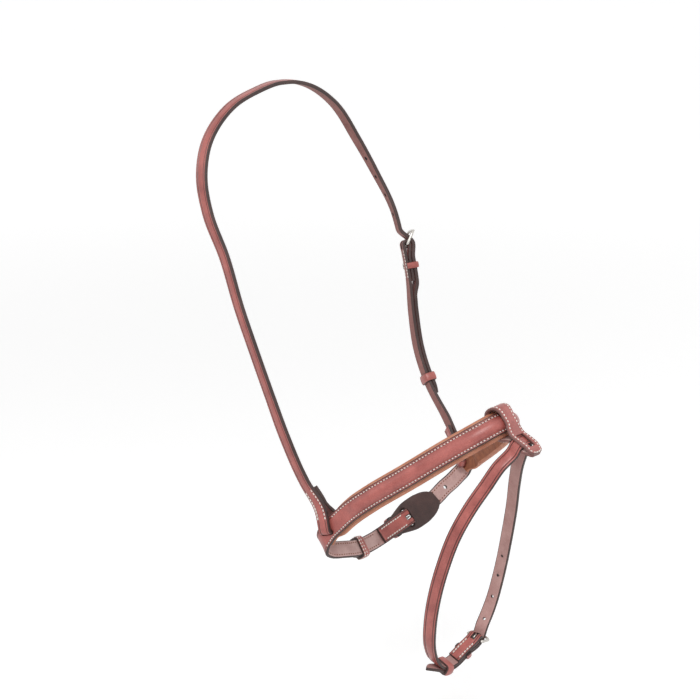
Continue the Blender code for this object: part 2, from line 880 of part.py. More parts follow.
def tongue_line():
    """The middle line of a tongue: distances along the frame and out of it, tip first."""
    wrap = tongue_wrap()
    length = FRAME_LENGTH + WIRE_RADIUS * 2
    line = [(length * share, wrap) for share in TONGUE_SHARES]
    for step in range(TONGUE_EYE_STEPS):
        angle = math.radians(90 + TONGUE_EYE_TURN * step / (TONGUE_EYE_STEPS - 1))
        line.append((wrap * math.cos(angle), wrap * math.sin(angle)))
    return line


def buckle_tongue(name, route, bar_at, bar_out, tilt):
    """A wire tongue, bent round the bar and resting on the frame's end."""
    bar, reach, side, face = frame_axes(route, bar_at, bar_out, tilt)
    line = tongue_line()
    rings = []
    for index, (u, v) in enumerate(line):
        after = line[min(len(line) - 1, index + 1)]
        before = line[max(0, index - 1)]
        spoke = Vector((before[1] - after[1], after[0] - before[0])).normalized()
        radius = TONGUE_RADIUS * (TONGUE_TIP_SHARE if index == 0 else 1.0)
        rings.append(round_ring(bar + reach * u + face * v, reach * spoke.x + face * spoke.y, side, radius))
    return loft(name, rings, steel(name))


def tongue_crossing(bar_out, tilt, over):
    """How far before the bar the tongue passes through the middle of the billet."""
    before = 0.0
    while before < BILLET_RISE:
        tongue = bar_out + tongue_wrap() / math.cos(tilt) + before * math.tan(tilt)
        if tongue > billet_level(-before, 0.0, 0.0, over, ()):
            break
        before += GAP
    return before


def keeper(name, route, middle, length, low, high, width, skin):
    """A leather keeper: a closed band round the layers between two levels."""
    rings = []
    stations = 3
    for row in range(stations):
        along = middle + length * (row / (stations - 1) - 0.5)
        rings.append((along, keeper_outline(low, high, width, KEEPER_THICKNESS),
                      keeper_outline(low, high, width, 0.0)))
    loops = []
    for along, outer, _ in rings:
        loops.append([route.spot(along, across, out) for across, out in outer])
    for along, _, inner in reversed(rings):
        loops.append([route.spot(along, across, out) for across, out in inner])
    return loft(name, loops, skin, closed=True)


def keeper_outline(low, high, width, thickness):
    """Rounded rectangle round the layers, grown by a thickness."""
    x = width / 2 + thickness
    top = high + thickness
    bottom = low - thickness
    corner = KEEPER_CORNER + thickness / 2
    outline = []
    for centre_x, centre_y, start in (
        (x - corner, top - corner, 0), (corner - x, top - corner, 90),
        (corner - x, bottom + corner, 180), (x - corner, bottom + corner, 270),
    ):
        for step in range(3):
            angle = math.radians(start + 45 * step)
            outline.append((centre_x + corner * math.cos(angle), centre_y + corner * math.sin(angle)))
    return outline


def open_keeper(name, route, middle, length, low, high, width, skin):
    """A fixed keeper over a billet, whose ends are sewn to the edges of the strap under it."""
    x = width / 2
    t = KEEPER_THICKNESS
    corner = KEEPER_CORNER
    outer = [(x + t, low), (x + t, high), (x + corner, high + t), (-x - corner, high + t),
             (-x - t, high), (-x - t, low)]
    inner = [(-x, low), (-x, high - corner), (corner - x, high), (x - corner, high),
             (x, high - corner), (x, low)]
    rings = []
    for row in range(3):
        along = middle + length * (row / 2 - 0.5)
        rings.append([route.spot(along, across, out) for across, out in outer + inner])
    return loft(name, rings, skin)


def raise_at(along):
    """Height of the raise at a place along the noseband."""
    start = NEAR_SLOT + RAISE_INSET
    end = FAR_SLOT - RAISE_INSET
    return RAISE_HEIGHT * min(ease((along - start) / RAISE_FADE), ease((end - along) / RAISE_FADE))


def band_width_at(along):
    """Width of the noseband strap, wider between the slots."""
    near = ease((along - NEAR_SLOT + BAND_TAPER * 2) / BAND_TAPER)
    far = ease((FAR_SLOT + BAND_TAPER - along) / BAND_TAPER)
    return CHIN_WIDTH + (BAND_WIDTH - CHIN_WIDTH) * min(near, far)


def band_profile(along):
    """Cross-section of the noseband strap: flat edges and a round raise."""
    width = band_width_at(along)
    half = width / 2
    rise = STRAP_THICKNESS / 2
    lift = raise_at(along)
    bevel = EDGE_BEVEL
    foot = RAISE_WIDTH / 2
    inner_foot = foot - EDGE_BEVEL
    top = []
    under = []
    for share in (-1.0, -0.78, -0.42, 0.0, 0.42, 0.78, 1.0):
        bulge = math.sqrt(1 - share * share)
        top.append((foot * share, rise + lift * bulge))
        under.append((-inner_foot * share, -rise + (lift - EDGE_BEVEL * lift / RAISE_HEIGHT) * bulge))
    return (
        [(-half, rise - bevel), (bevel - half, rise)] + top + [(half - bevel, rise), (half, rise - bevel)]
        + [(half, bevel - rise), (half - bevel, -rise)] + under + [(bevel - half, -rise), (-half, bevel - rise)]
    )


CHIN_TAB_LEVEL = -(STRAP_THICKNESS + GAP + PAD_THICKNESS + GAP)
CHIN_BAR_OUT = WIRE_RADIUS - STRAP_THICKNESS / 2
CHIN_OVER = CHIN_BAR_OUT + fold_radius(STRAP_THICKNESS) + STRAP_THICKNESS + LAYER_GAP
CHIN_SEAT = STRAP_THICKNESS + LAYER_GAP


def noseband_strap():
    """The long strap: tab, chin part, nose part with its raise, and billet."""
    path = inside_fold(RING, STRAP_THICKNESS, CHIN_TAB_LEVEL, CHIN_TAB_LENGTH)
    turn = RING.total
    path.extend(stretch(RING, FOLD_EASE, turn - BILLET_RISE, lambda _: 0.0)[1:])

    def level(along):
        return billet_level(along, turn, 0.0, CHIN_OVER, ((0.0, CHIN_SEAT),))

    path.extend(run(turn - BILLET_RISE, turn + FOLD_EASE, level, FINE_STEP / 2)[1:])
    end = turn + CHIN_BILLET_LENGTH - CHIN_WIDTH
    path.extend(stretch(RING, turn + FOLD_EASE, end, level)[1:])
    rings = layer_rings(RING, path, band_profile)
    rings.extend(billet_tip_rings(end))
    obj = loft("noseband_strap", rings, leather("noseband_strap"))
    cut(obj, noseband_cutter())
    cut(obj, cutter("chin_notch_cutter", [inside_notch(RING, STRAP_THICKNESS, CHIN_TAB_LEVEL)]))
    return obj


def billet_tip_rings(start):
    """The pointed end of the noseband's billet."""
    rings = []
    for reach_share, width_share in BILLET_TIP_SHARES:
        along = start + CHIN_WIDTH * reach_share
        profile = [(across * width_share, rise) for across, rise in band_profile(start)]
        rings.append(layer_ring(RING, along, CHIN_SEAT, 0.0, profile))
    return rings


def noseband_cutter():
    """Slots for the cheek hangers and holes in the billet."""
    depth = STRAP_THICKNESS
    parts = []
    tall = CHEEK_THICKNESS + SLOT_SPARE
    slot = slot_outline(tall, SLOT_LENGTH)
    parts.append(prism(HEAD, HEAD_NEAR_SLOT, -HANGER_OUT, depth, slot))
    parts.append(prism(HEAD, HEAD_FAR_SLOT, -HANGER_OUT, depth, slot))
    for index in range(CHIN_HOLES):
        along = RING.total - CHIN_HOLE_FIRST + CHIN_HOLE_PITCH * index
        if along < RING.total - BILLET_RISE:
            parts.append(prism(RING, along, 0.0, depth, round_outline(HOLE_RADIUS)))
    parts.append(tongue_slot(RING, RING.total, CHIN_BAR_OUT, CHIN_FRAME_TILT, CHIN_OVER, STRAP_THICKNESS))
    for index in range(1, CHIN_HOLES):
        along = RING.total + CHIN_FIXED_KEEPER_AT + CHIN_HOLE_PITCH * (index - 0.4)
        level = CHIN_SEAT
        parts.append(prism(RING, along, level, STRAP_THICKNESS / 2 + GAP / 2, round_outline(HOLE_RADIUS)))
    return cutter("noseband_cutter", parts)


def tongue_slot(route, bar_at, bar_out, tilt, over, thickness):
    """The hole that the tongue passes through, square to the route."""
    middle = bar_at - tongue_crossing(bar_out, tilt, over)
    depth = (over + thickness) / 2
    return prism(route, middle, over / 2, depth, slot_outline(TONGUE_SLOT_LENGTH, TONGUE_SLOT_WIDTH))


def notch(route, bar_at, outline):
    """The notch in a fold that lets the tongue turn on the bar; distances along and out."""
    point, tangent, side, outward = route.frame(bar_at)
    one_side = []
    other_side = []
    for along, out in outline:
        spot = point + tangent * along + outward * out
        one_side.append(spot - side * NOTCH_WIDTH / 2)
        other_side.append(spot + side * NOTCH_WIDTH / 2)
    return one_side, other_side


def inside_notch(route, thickness, tab_level):
    """Notch through both plies of an inside fold."""
    back = -fold_radius(thickness) - thickness
    front = eye_reach()
    low = tab_level - thickness
    high = thickness / 2 + GAP / 2
    outline = [(back, low), (front, low), (front, inside_level(thickness, front) + high),
               (front / 2, inside_level(thickness, front / 2) + high),
               (0.0, inside_level(thickness, 0.0) + high), (back, inside_level(thickness, 0.0) + high)]
    return notch(route, 0.0, outline)


def outside_notch(route, bar_at, thickness, tab_level):
    """Notch through both plies of an outside fold."""
    back = -fold_radius(thickness) - thickness
    front = eye_reach()
    high = thickness / 2 + GAP
    outline = [(back, -thickness), (front, -thickness),
               (front, outside_level(thickness, tab_level, front) + high),
               (0.0, outside_level(thickness, tab_level, 0.0) + high),
               (back, outside_level(thickness, tab_level, 0.0) + high)]
    return notch(route, bar_at, outline)


def backing_strip():
    """Thin leather that closes the raise from behind, from slot to slot."""
    start = NEAR_SLOT - LINING_PAST_SLOT
    end = FAR_SLOT + LINING_PAST_SLOT
    level = -band_half_thickness() - GAP - BACKING_THICKNESS / 2
    path = stretch(RING, start, end, lambda _: level)
    half = BACKING_THICKNESS / 2

    def profile(along):
        side = band_width_at(along) / 2 - EDGE_BEVEL
        return [(-side, half), (side, half), (side, -half), (-side, -half)]

    obj = loft("backing_strip", layer_rings(RING, path, profile), leather("backing_strip"))
    cut(obj, slot_cutter("backing_cutter", level, BACKING_THICKNESS))
    return obj


def slot_cutter(name, level, depth):
    """The two hanger slots, through one layer of the band."""
    slot = slot_outline(CHEEK_THICKNESS + SLOT_SPARE, SLOT_LENGTH)
    out = level - HANGER_OUT
    return cutter(name, [prism(HEAD, place, out, depth, slot) for place in (HEAD_NEAR_SLOT, HEAD_FAR_SLOT)])


def filler_cord():
    """The round cord under the raise."""
    start = NEAR_SLOT + RAISE_INSET + RAISE_FADE + STEP
    end = FAR_SLOT - RAISE_INSET - RAISE_FADE - STEP
    half = RAISE_WIDTH / 2 - EDGE_BEVEL - GAP * 2

    def profile(along):
        lift = raise_at(along) * (1 - EDGE_BEVEL / RAISE_HEIGHT) - GAP * 2
        outline = [(half, 0.0), (-half, 0.0)]
        for share in (-0.72, 0.0, 0.72):
            outline.append((half * share, lift * math.sqrt(1 - share * share)))
        return outline

    base = -band_half_thickness() + GAP / 3
    path = stretch(RING, start, end, lambda _: base)
    return loft("filler_cord", layer_rings(RING, path, profile), material("filler_cord_felt", (0.5, 0.45, 0.4), 0.9))


def lining_outline(along):
    """The rolled lining skin: a wide tray whose lips turn in under the leather."""
    top = lining_top()
    depth = lining_depth_at(along)
    high = -lining_reach(along, LINING_UPPER_SPREAD)
    low = lining_reach(along, LINING_LOWER_SPREAD)
    t = LINING_SKIN
    bottom = top - depth
    roll = depth / 4
    lip = LINING_LIP
    inner_top = top - t
    inner_bottom = bottom + t
    return [
        (high + lip, top), (high + roll, top), (high, top - roll), (high, bottom + roll), (high + roll, bottom),
        (low - roll, bottom), (low, bottom + roll), (low, top - roll), (low - roll, top), (low - lip, top),
        (low - lip, inner_top), (low - t, inner_top), (low - t, inner_bottom),
        (high + t, inner_bottom), (high + t, inner_top), (high + lip, inner_top),
    ]


def lining_skin():
    """The soft lining leather."""
    start = NEAR_SLOT - LINING_PAST_SLOT
    end = FAR_SLOT + LINING_PAST_SLOT
    rings = []
    for along, _ in stretch(RING, start, end, lambda _: 0.0):
        rings.append([RING.spot(along, across, out) for across, out in lining_outline(along)])
    obj = loft("lining_skin", rings, material("lining_skin_leather", (0.55, 0.25, 0.15), 0.6))
    tool = slot_cutter("lining_cutter", lining_top() - LINING_END_DEPTH / 2, LINING_END_DEPTH)
    cut(obj, tool, "MANIFOLD")
    return obj


def lining_foam():
    """The foam held in the lining."""
    start = NEAR_SLOT - LINING_PAST_SLOT + FOAM_INSET + LINING_FADE / 2
    end = FAR_SLOT + LINING_PAST_SLOT - FOAM_INSET - LINING_FADE / 2

    def profile(along):
        top = lining_top() - LINING_SKIN - GAP
        bottom = lining_top() - lining_depth_at(along) + LINING_SKIN + GAP
        high = LINING_SKIN + GAP - lining_reach(along, LINING_UPPER_SPREAD)
        low = lining_reach(along, LINING_LOWER_SPREAD) - LINING_SKIN - GAP
        return [(high, top), (low, top), (low, bottom), (high, bottom)]

    rings = []
    for along, _ in stretch(RING, start, end, lambda _: 0.0):
        rings.append([RING.spot(along, across, out) for across, out in profile(along)])
    return loft("lining_foam", rings, material("lining_foam_foam", (0.75, 0.7, 0.55), 0.95))


# Outline of the chin guard: distance from its narrow end and half width, as shares of its
# length and width.
PAD_SHARES = (
    (0.0, 0.24), (0.05, 0.30), (0.20, 0.36), (0.36, 0.44), (0.52, 0.50), (0.70, 0.50),
    (0.84, 0.44), (0.94, 0.34), (1.0, 0.20),
)


def chin_guard():
    """The soft leather guard between buckle and chin, slit for the fold."""
    level = -(STRAP_THICKNESS + PAD_THICKNESS) / 2 - GAP
    rings = []
    for reach_share, width_share in PAD_SHARES:
        along = PAD_BEHIND_BAR - PAD_LENGTH * reach_share
        profile = strap_profile(PAD_WIDTH * width_share * 2, PAD_THICKNESS)
        rings.append(layer_ring(RING, along, level, 0.0, profile))
    obj = loft("chin_guard", rings, material("chin_guard_leather", (0.09, 0.05, 0.045), 0.6))
    back = fold_radius(STRAP_THICKNESS) + STRAP_THICKNESS / 2 + SLACK
    front = eye_reach() + SLACK
    middle = (front - back) / 2
    outline = slot_outline(back + front, CHIN_WIDTH + SLACK * 2)
    cut(obj, cutter("chin_guard_cutter", [prism(RING, middle, level, PAD_THICKNESS, outline)]))
    return obj


def chin_buckle():
    """Frame, tongue and keepers of the chin buckle."""
    buckle_frame("chin_buckle_frame", RING, 0.0, CHIN_BAR_OUT, CHIN_FRAME_TILT, CHIN_WIDTH)
    buckle_tongue("chin_buckle_tongue", RING, 0.0, CHIN_BAR_OUT, CHIN_FRAME_TILT)
    high = CHIN_SEAT + STRAP_THICKNESS / 2 + SLACK
    open_keeper("chin_fixed_keeper", RING, CHIN_FIXED_KEEPER_AT, SMALL_KEEPER_LENGTH,
                -STRAP_THICKNESS / 2, high, CHIN_WIDTH + SLACK, leather("chin_fixed_keeper"))
    keeper("chin_runner_keeper", RING, CHIN_RUNNER_AT, KEEPER_LENGTH,
           -STRAP_THICKNESS / 2 - SLACK, high, CHIN_WIDTH + SLACK * 2, leather("chin_runner_keeper"))


def hanger_path(slot, start_ply, up):
    """Path of a hanger from its inner ply round through the slot, going up the outer face."""
    corner = HANGER_CORNER
    inner = -(CHEEK_THICKNESS + GAP)
    band_top = slot + up * BAND_WIDTH * HANGER_PASS_SHARE
    clear = band_top + up * HANGER_STEP * HANGER_CLOSE_SHARE
    path = run(slot + up * start_ply, clear, lambda _: inner, FINE_STEP)
    path.extend(run(clear, band_top, lambda along: inner + (-HANGER_STEP - inner)
                    * ease((clear - along) / (clear - band_top)), FINE_STEP)[1:])
    path.append((slot + up * corner, -HANGER_STEP))
    turn = 180 if up > 0 else 0
    sense = 1 if up > 0 else -1
    path.extend(arc(slot + up * corner, corner - HANGER_STEP, corner, 270, 270 - sense * 90)[1:])
    path.extend(arc(slot + up * corner, -corner, corner, turn, turn - sense * 90))
    return path


def cheek_profile(_):
    """Cross-section of the sliphead."""
    return strap_profile(CHEEK_WIDTH, CHEEK_THICKNESS)


CHEEK_FOLD_TOP = fold_radius(CHEEK_STRAP_THICKNESS) * 2
CHEEK_TAB_LEVEL = CHEEK_STRAP_THICKNESS + GAP
CHEEK_SEAT = CHEEK_STRAP_THICKNESS / 2 + LAYER_GAP + CHEEK_THICKNESS / 2
CHEEK_OVER = CHEEK_FOLD_TOP + CHEEK_SEAT
CHEEK_SEAT_TAB = CHEEK_TAB_LEVEL + CHEEK_SEAT
CHEEK_BAR_OUT = fold_radius(CHEEK_STRAP_THICKNESS)


def sliphead_level(along):
    """Level of the sliphead's billet along the far cheek."""
    seats = ((0.0, CHEEK_SEAT_TAB), (CHEEK_TAB_LENGTH + EDGE_BEVEL, CHEEK_SEAT))
    return billet_level(along, CHEEK_BAR, 0.0, CHEEK_OVER, seats)


def sliphead_strap():
    """The long strap from the near slot over the poll to the far cheek buckle and its billet."""
    path = hanger_path(HEAD_NEAR_SLOT, HANGER_PLY_LENGTH, 1)
    end = CHEEK_BAR + CHEEK_BILLET_LENGTH - CHEEK_WIDTH
    rise = CHEEK_BAR - BILLET_RISE
    tab_end = CHEEK_BAR + CHEEK_TAB_LENGTH
    path.extend(stretch(HEAD, path[-1][0], SEAT_START, lambda _: 0.0)[1:])
    path.extend(stretch(HEAD, SEAT_END, rise, lambda _: 0.0))
    path.extend(run(rise, CHEEK_BAR + FOLD_EASE, sliphead_level, FINE_STEP / 2)[1:])
    path.extend(stretch(HEAD, CHEEK_BAR + FOLD_EASE, tab_end, sliphead_level)[1:])
    path.extend(run(tab_end, tab_end + FOLD_EASE * 1.1, sliphead_level, FINE_STEP)[1:])
    path.extend(stretch(HEAD, tab_end + FOLD_EASE * 1.1, end, sliphead_level)[1:])
    rings = layer_rings(HEAD, path, cheek_profile)
    rings.extend(tip_rings(HEAD, end, sliphead_level, CHEEK_WIDTH, CHEEK_THICKNESS)[1:])
    obj = loft("sliphead_strap", rings, leather("sliphead_strap"))
    cut(obj, sliphead_cutter())
    return obj


def sliphead_cutter():
    """Punched holes above and below the cheek buckle and the one that the tongue holds."""
    parts = [tongue_slot(HEAD, CHEEK_BAR, CHEEK_BAR_OUT, CHEEK_FRAME_TILT, CHEEK_OVER, CHEEK_THICKNESS)]
    for index in range(CHEEK_HOLES_ABOVE):
        along = CHEEK_BAR - BILLET_RISE - CHEEK_HOLE_PITCH * (index + 0.75)
        parts.append(prism(HEAD, along, 0.0, CHEEK_THICKNESS, round_outline(HOLE_RADIUS)))
    for index in range(CHEEK_HOLES_BELOW):
        along = CHEEK_BAR + CHEEK_HOLE_FIRST_BELOW + CHEEK_HOLE_PITCH * (index + 1)
        out = sliphead_level(along)
        parts.append(prism(HEAD, along, out, CHEEK_THICKNESS / 2 + GAP / 2, round_outline(HOLE_RADIUS)))
    return cutter("sliphead_cutter", parts)


def cheek_strap():
    """The short strap from the far slot up to the cheek buckle, turned back over its bar."""
    path = outside_fold(HEAD, CHEEK_STRAP_THICKNESS, CHEEK_TAB_LEVEL, CHEEK_TAB_LENGTH, CHEEK_BAR)
    path.extend(stretch(HEAD, CHEEK_BAR, HEAD_FAR_SLOT - HANGER_CORNER, lambda _: 0.0)[1:])
    path.extend(reversed(hanger_path(HEAD_FAR_SLOT, HANGER_PLY_LENGTH, -1)[:-1]))

    def profile(_):
        return strap_profile(CHEEK_WIDTH, CHEEK_STRAP_THICKNESS)

    obj = loft("cheek_strap", layer_rings(HEAD, path, profile), leather("cheek_strap"))
    parts = [outside_notch(HEAD, CHEEK_BAR, CHEEK_STRAP_THICKNESS, CHEEK_TAB_LEVEL)]
    cut(obj, cutter("cheek_cutter", parts))
    return obj


def cheek_buckle():
    """Frame, tongue and keepers of the cheek buckle."""
    buckle_frame("cheek_buckle_frame", HEAD, CHEEK_BAR, CHEEK_BAR_OUT, CHEEK_FRAME_TILT, CHEEK_WIDTH)
    buckle_tongue("cheek_buckle_tongue", HEAD, CHEEK_BAR, CHEEK_BAR_OUT, CHEEK_FRAME_TILT)
    half = CHEEK_STRAP_THICKNESS / 2
    open_keeper("cheek_fixed_keeper", HEAD, CHEEK_BAR + CHEEK_FIXED_KEEPER_AT, SMALL_KEEPER_LENGTH,
                -half, CHEEK_SEAT_TAB + CHEEK_THICKNESS / 2 + SLACK, CHEEK_WIDTH + SLACK,
                leather("cheek_fixed_keeper"))
    keeper("cheek_runner_keeper", HEAD, CHEEK_BAR + CHEEK_RUNNER_AT, KEEPER_LENGTH,
           -half - SLACK, CHEEK_SEAT + CHEEK_THICKNESS / 2 + SLACK, CHEEK_WIDTH + SLACK * 2,
           leather("cheek_runner_keeper"))


def loop_path():
    """The loop's path round the band: down the front, with both ends in the tab below it."""
    t = LOOP_THICKNESS / 2
    front = STRAP_THICKNESS / 2 + RAISE_HEIGHT + SLACK + t
    back = lining_top() - LINING_DEPTH - SLACK - t
    top = -LINING_WIDTH / 2 - SLACK - t
    bottom = LINING_WIDTH / 2 + SLACK + t
    corner = LOOP_CORNER
    down = (math.cos(LOOP_TAB_TILT), math.sin(LOOP_TAB_TILT))
    face = (-down[1], down[0])
    hinge = (LINING_WIDTH / 2 + SLACK, STRAP_THICKNESS / 2)
    wide = FLASH_THICKNESS / 2 + GAP + t
    close = GAP / 2 + t

    def tab(reach, off):
        return (hinge[0] + down[0] * reach + face[0] * off, hinge[1] + down[1] * reach + face[1] * off)

    length = LOOP_TAB_LENGTH
    path = [tab(length, close), tab(length * 0.86, close * 1.15), tab(length * 0.70, wide),
            tab(length * 0.42, wide), tab(length * 0.14, wide)]
    path.append((hinge[0] - corner * 0.7, front - t / 2))
    path.append((LINING_WIDTH / 6, front))
    path.append((-LINING_WIDTH / 6, front))
    for step in range(4):
        angle = math.radians(90 + 30 * step)
        path.append((top + corner + corner * math.cos(angle), front - corner + corner * math.sin(angle)))
    for step in range(4):
        angle = math.radians(180 + 30 * step)
        path.append((top + corner + corner * math.cos(angle), back + corner + corner * math.sin(angle)))
    for step in range(3):
        angle = math.radians(270 + 30 * step)
        path.append((bottom - corner + corner * math.cos(angle), back + corner + corner * math.sin(angle)))
    path.extend([tab(length * 0.14, -wide), tab(length * 0.42, -wide), tab(length * 0.70, -wide),
                 tab(length * 0.86, -close * 1.15), tab(length, -close)])
    return path


# Width of the loop along its path, from the front tip round to the back tip, as shares of
# LOOP_TAB_WIDTH in the tab and of LOOP_WIDTH round the band.
LOOP_TIP_SHARES = (0.42, 0.86, 1.0, 1.0, 0.95)


def loop_profile(width):
    """Cross-section of the loop, with places between its edges so that it can bend."""
    half = width / 2
    rise = LOOP_THICKNESS / 2
    bevel = min(EDGE_BEVEL, LOOP_THICKNESS / 4)
    top = [(share * (half - bevel), rise) for share in (-1.0, -0.5, 0.0, 0.5, 1.0)]
    under = [(-across, -rise) for across, _ in top]
    return top + [(half, rise - bevel), (half, bevel - rise)] + under + [(-half, bevel - rise), (-half, rise - bevel)]


def loop_spot(across, down, out, follow):
    """A place on the loop: straight across the nose, or following the bend of the band."""
    point, tangent, side, outward = RING.frame(NOSE)
    straight = point + tangent * across + side * down + outward * out
    return straight.lerp(RING.spot(NOSE + across, down, out), follow)


def flash_loop():
    """The leather loop that slides on the nose and holds the flash strap."""
    path = loop_path()
    tab = [LOOP_TAB_WIDTH * share for share in LOOP_TIP_SHARES]
    body = len(path) - 2 * len(tab)
    widths = tab + [LOOP_WIDTH] * body + tab[::-1]
    follows = [0.0] * len(tab) + [1.0] * body + [0.0] * len(tab)
    rings = []
    for index, (down, out) in enumerate(path):
        before = path[max(0, index - 1)]
        after = path[min(len(path) - 1, index + 1)]
        travel = Vector((after[0] - before[0], after[1] - before[1])).normalized()
        follow = follows[index]
        ring = []
        for across, rise in loop_profile(widths[index]):
            place = (down + travel.y * rise, out - travel.x * rise)
            ring.append(loop_spot(across, place[0], place[1], follow))
        rings.append(ring)
    obj = loft("flash_loop", rings, leather("flash_loop"))
    cut(obj, loop_cutter())
    return obj


def tab_box(reach, length, across, width, low, high):
    """A box in the tab's own directions."""
    bottom = []
    top = []
    for u, v in ((-1, -1), (1, -1), (1, 1), (-1, 1)):
        spot = TAB_HINGE + TAB_DOWN * (reach + u * length / 2) + TAB_SIDE * (across + v * width / 2)
        bottom.append(spot + TAB_FACE * low)
        top.append(spot + TAB_FACE * high)
    return bottom, top


def loop_cutter():
    """The window in the front ply and the two slits in the back ply."""
    front = FLASH_THICKNESS / 2 + GAP / 2
    deep = front + LOOP_THICKNESS + GAP * 2
    slit = FLASH_THICKNESS + SLACK * 4
    across = LOOP_BRIDGE + FLASH_FOLD_RADIUS
    length = FLASH_WIDTH + SLACK * 2
    return cutter("loop_cutter", [
        tab_box(BRIDGE_AT, WINDOW_LENGTH, 0.0, WINDOW_WIDTH, front - GAP, deep),
        tab_box(BRIDGE_AT, length, -across, slit, -deep, -front + GAP),
        tab_box(BRIDGE_AT, length, across, slit, -deep, -front + GAP),
    ])


FLASH_TAB_LEVEL = -(FLASH_THICKNESS + GAP)
FLASH_BAR_OUT = WIRE_RADIUS - FLASH_THICKNESS / 2
FLASH_OVER = FLASH_BAR_OUT + fold_radius(FLASH_THICKNESS) + FLASH_THICKNESS + LAYER_GAP
FLASH_SEAT = FLASH_THICKNESS + LAYER_GAP


def flash_level(along):
    """Level of the flash strap's billet, whose end springs away from the loop past its runner."""
    free = max(0.0, along - FLASH.total - FLASH_RUNNER_AT - KEEPER_LENGTH / 2)
    seated = billet_level(along, FLASH.total, 0.0, FLASH_OVER, ((0.0, FLASH_SEAT),))
    return seated + free * free / FLASH_SPRING_RADIUS / 2


def flash_profile(_):
    """Cross-section of the flash strap."""
    return strap_profile(FLASH_WIDTH, FLASH_THICKNESS)


def flash_strap():
    """The flash strap, from its turned-back end over the bridge to its billet."""
    turn = FLASH.total
    path = inside_fold(FLASH, FLASH_THICKNESS, FLASH_TAB_LEVEL, FLASH_TAB_LENGTH)
    path.extend(stretch(FLASH, FOLD_EASE, turn - BILLET_RISE, lambda _: 0.0)[1:])
    end = turn + FLASH_BILLET_LENGTH - FLASH_WIDTH
    path.extend(run(turn - BILLET_RISE, turn + FOLD_EASE, flash_level, FINE_STEP / 2)[1:])
    path.extend(stretch(FLASH, turn + FOLD_EASE, end, flash_level)[1:])
    rings = layer_rings(FLASH, path, flash_profile)
    rings.extend(tip_rings(FLASH, end, flash_level, FLASH_WIDTH, FLASH_THICKNESS)[1:])
    obj = loft("flash_strap", rings, leather("flash_strap"))
    cut(obj, flash_cutter())
    cut(obj, cutter("flash_notch_cutter", [inside_notch(FLASH, FLASH_THICKNESS, FLASH_TAB_LEVEL)]))
    return obj


def flash_cutter():
    """Punched holes of the flash strap and the tongue's hole."""
    parts = [tongue_slot(FLASH, FLASH.total, FLASH_BAR_OUT, FLASH_FRAME_TILT, FLASH_OVER, FLASH_THICKNESS)]
    for index in range(FLASH_HOLES):
        along = FLASH.total - FLASH_HOLE_FIRST - FLASH_HOLE_PITCH * index
        parts.append(prism(FLASH, along, 0.0, FLASH_THICKNESS, round_outline(HOLE_RADIUS)))
    return cutter("flash_cutter", parts)


def flash_buckle():
    """Frame, tongue and keepers of the flash buckle."""
    buckle_frame("flash_buckle_frame", FLASH, 0.0, FLASH_BAR_OUT, FLASH_FRAME_TILT, FLASH_WIDTH)
    buckle_tongue("flash_buckle_tongue", FLASH, 0.0, FLASH_BAR_OUT, FLASH_FRAME_TILT)
    high = FLASH_SEAT + FLASH_THICKNESS / 2 + SLACK
    open_keeper("flash_fixed_keeper", FLASH, FLASH_FIXED_KEEPER_AT, SMALL_KEEPER_LENGTH,
                -FLASH_THICKNESS / 2, high, FLASH_WIDTH + SLACK, leather("flash_fixed_keeper"))
    keeper("flash_runner_keeper", FLASH, FLASH_RUNNER_AT, KEEPER_LENGTH,
           -FLASH_THICKNESS / 2 - SLACK, high, FLASH_WIDTH + SLACK * 2, leather("flash_runner_keeper"))


def pivots():
    """The place that each moving piece turns about or slides along."""
    nod = (RING.point(NEAR_SLOT) + RING.point(FAR_SLOT)) / 2
    cheek_bar = HEAD.spot(CHEEK_BAR, 0.0, CHEEK_BAR_OUT)
    chin_bar = RING.spot(0.0, 0.0, CHIN_BAR_OUT)
    swing = TAB_HINGE + TAB_DOWN * BRIDGE_AT
    flash_bar = FLASH.spot(0.0, 0.0, FLASH_BAR_OUT)
    places = {
        "cheek_buckle_frame": cheek_bar,
        "cheek_buckle_tongue": cheek_bar,
        "cheek_runner_keeper": HEAD.spot(CHEEK_BAR + CHEEK_RUNNER_AT),
        "chin_buckle_frame": chin_bar,
        "chin_buckle_tongue": chin_bar,
        "chin_runner_keeper": RING.spot(CHIN_RUNNER_AT),
        "flash_loop": RING.spot(NOSE),
        "flash_strap": swing,
        "flash_fixed_keeper": swing,
        "flash_buckle_frame": flash_bar,
        "flash_buckle_tongue": flash_bar,
        "flash_runner_keeper": FLASH.spot(FLASH_RUNNER_AT),
    }
    for name in NODDING_PIECES:
        places[name] = nod
    return places


def main():
    """Build every piece and put each moving one's origin on its joint."""
    clear_scene()
    sliphead_strap()
    cheek_strap()
    cheek_buckle()
    noseband_strap()
    backing_strip()
    filler_cord()
    lining_skin()
    lining_foam()
    chin_guard()
    chin_buckle()
    flash_loop()
    flash_strap()
    flash_buckle()
    for name, place in pivots().items():
        pin(bpy.data.objects[name], place)


main()
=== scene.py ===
"""Detailed model of a round noseband with a flash strap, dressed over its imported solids.

Metres, +Z up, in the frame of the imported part: the origin is under the middle of the sliphead.
Every strap is laid along the route that its solid follows, in finer steps, with its creases,
edges, holes and stitches.
"""

import math

import bmesh
import bpy
from mathutils import Matrix, Vector
from mathutils.geometry import interpolate_bezier


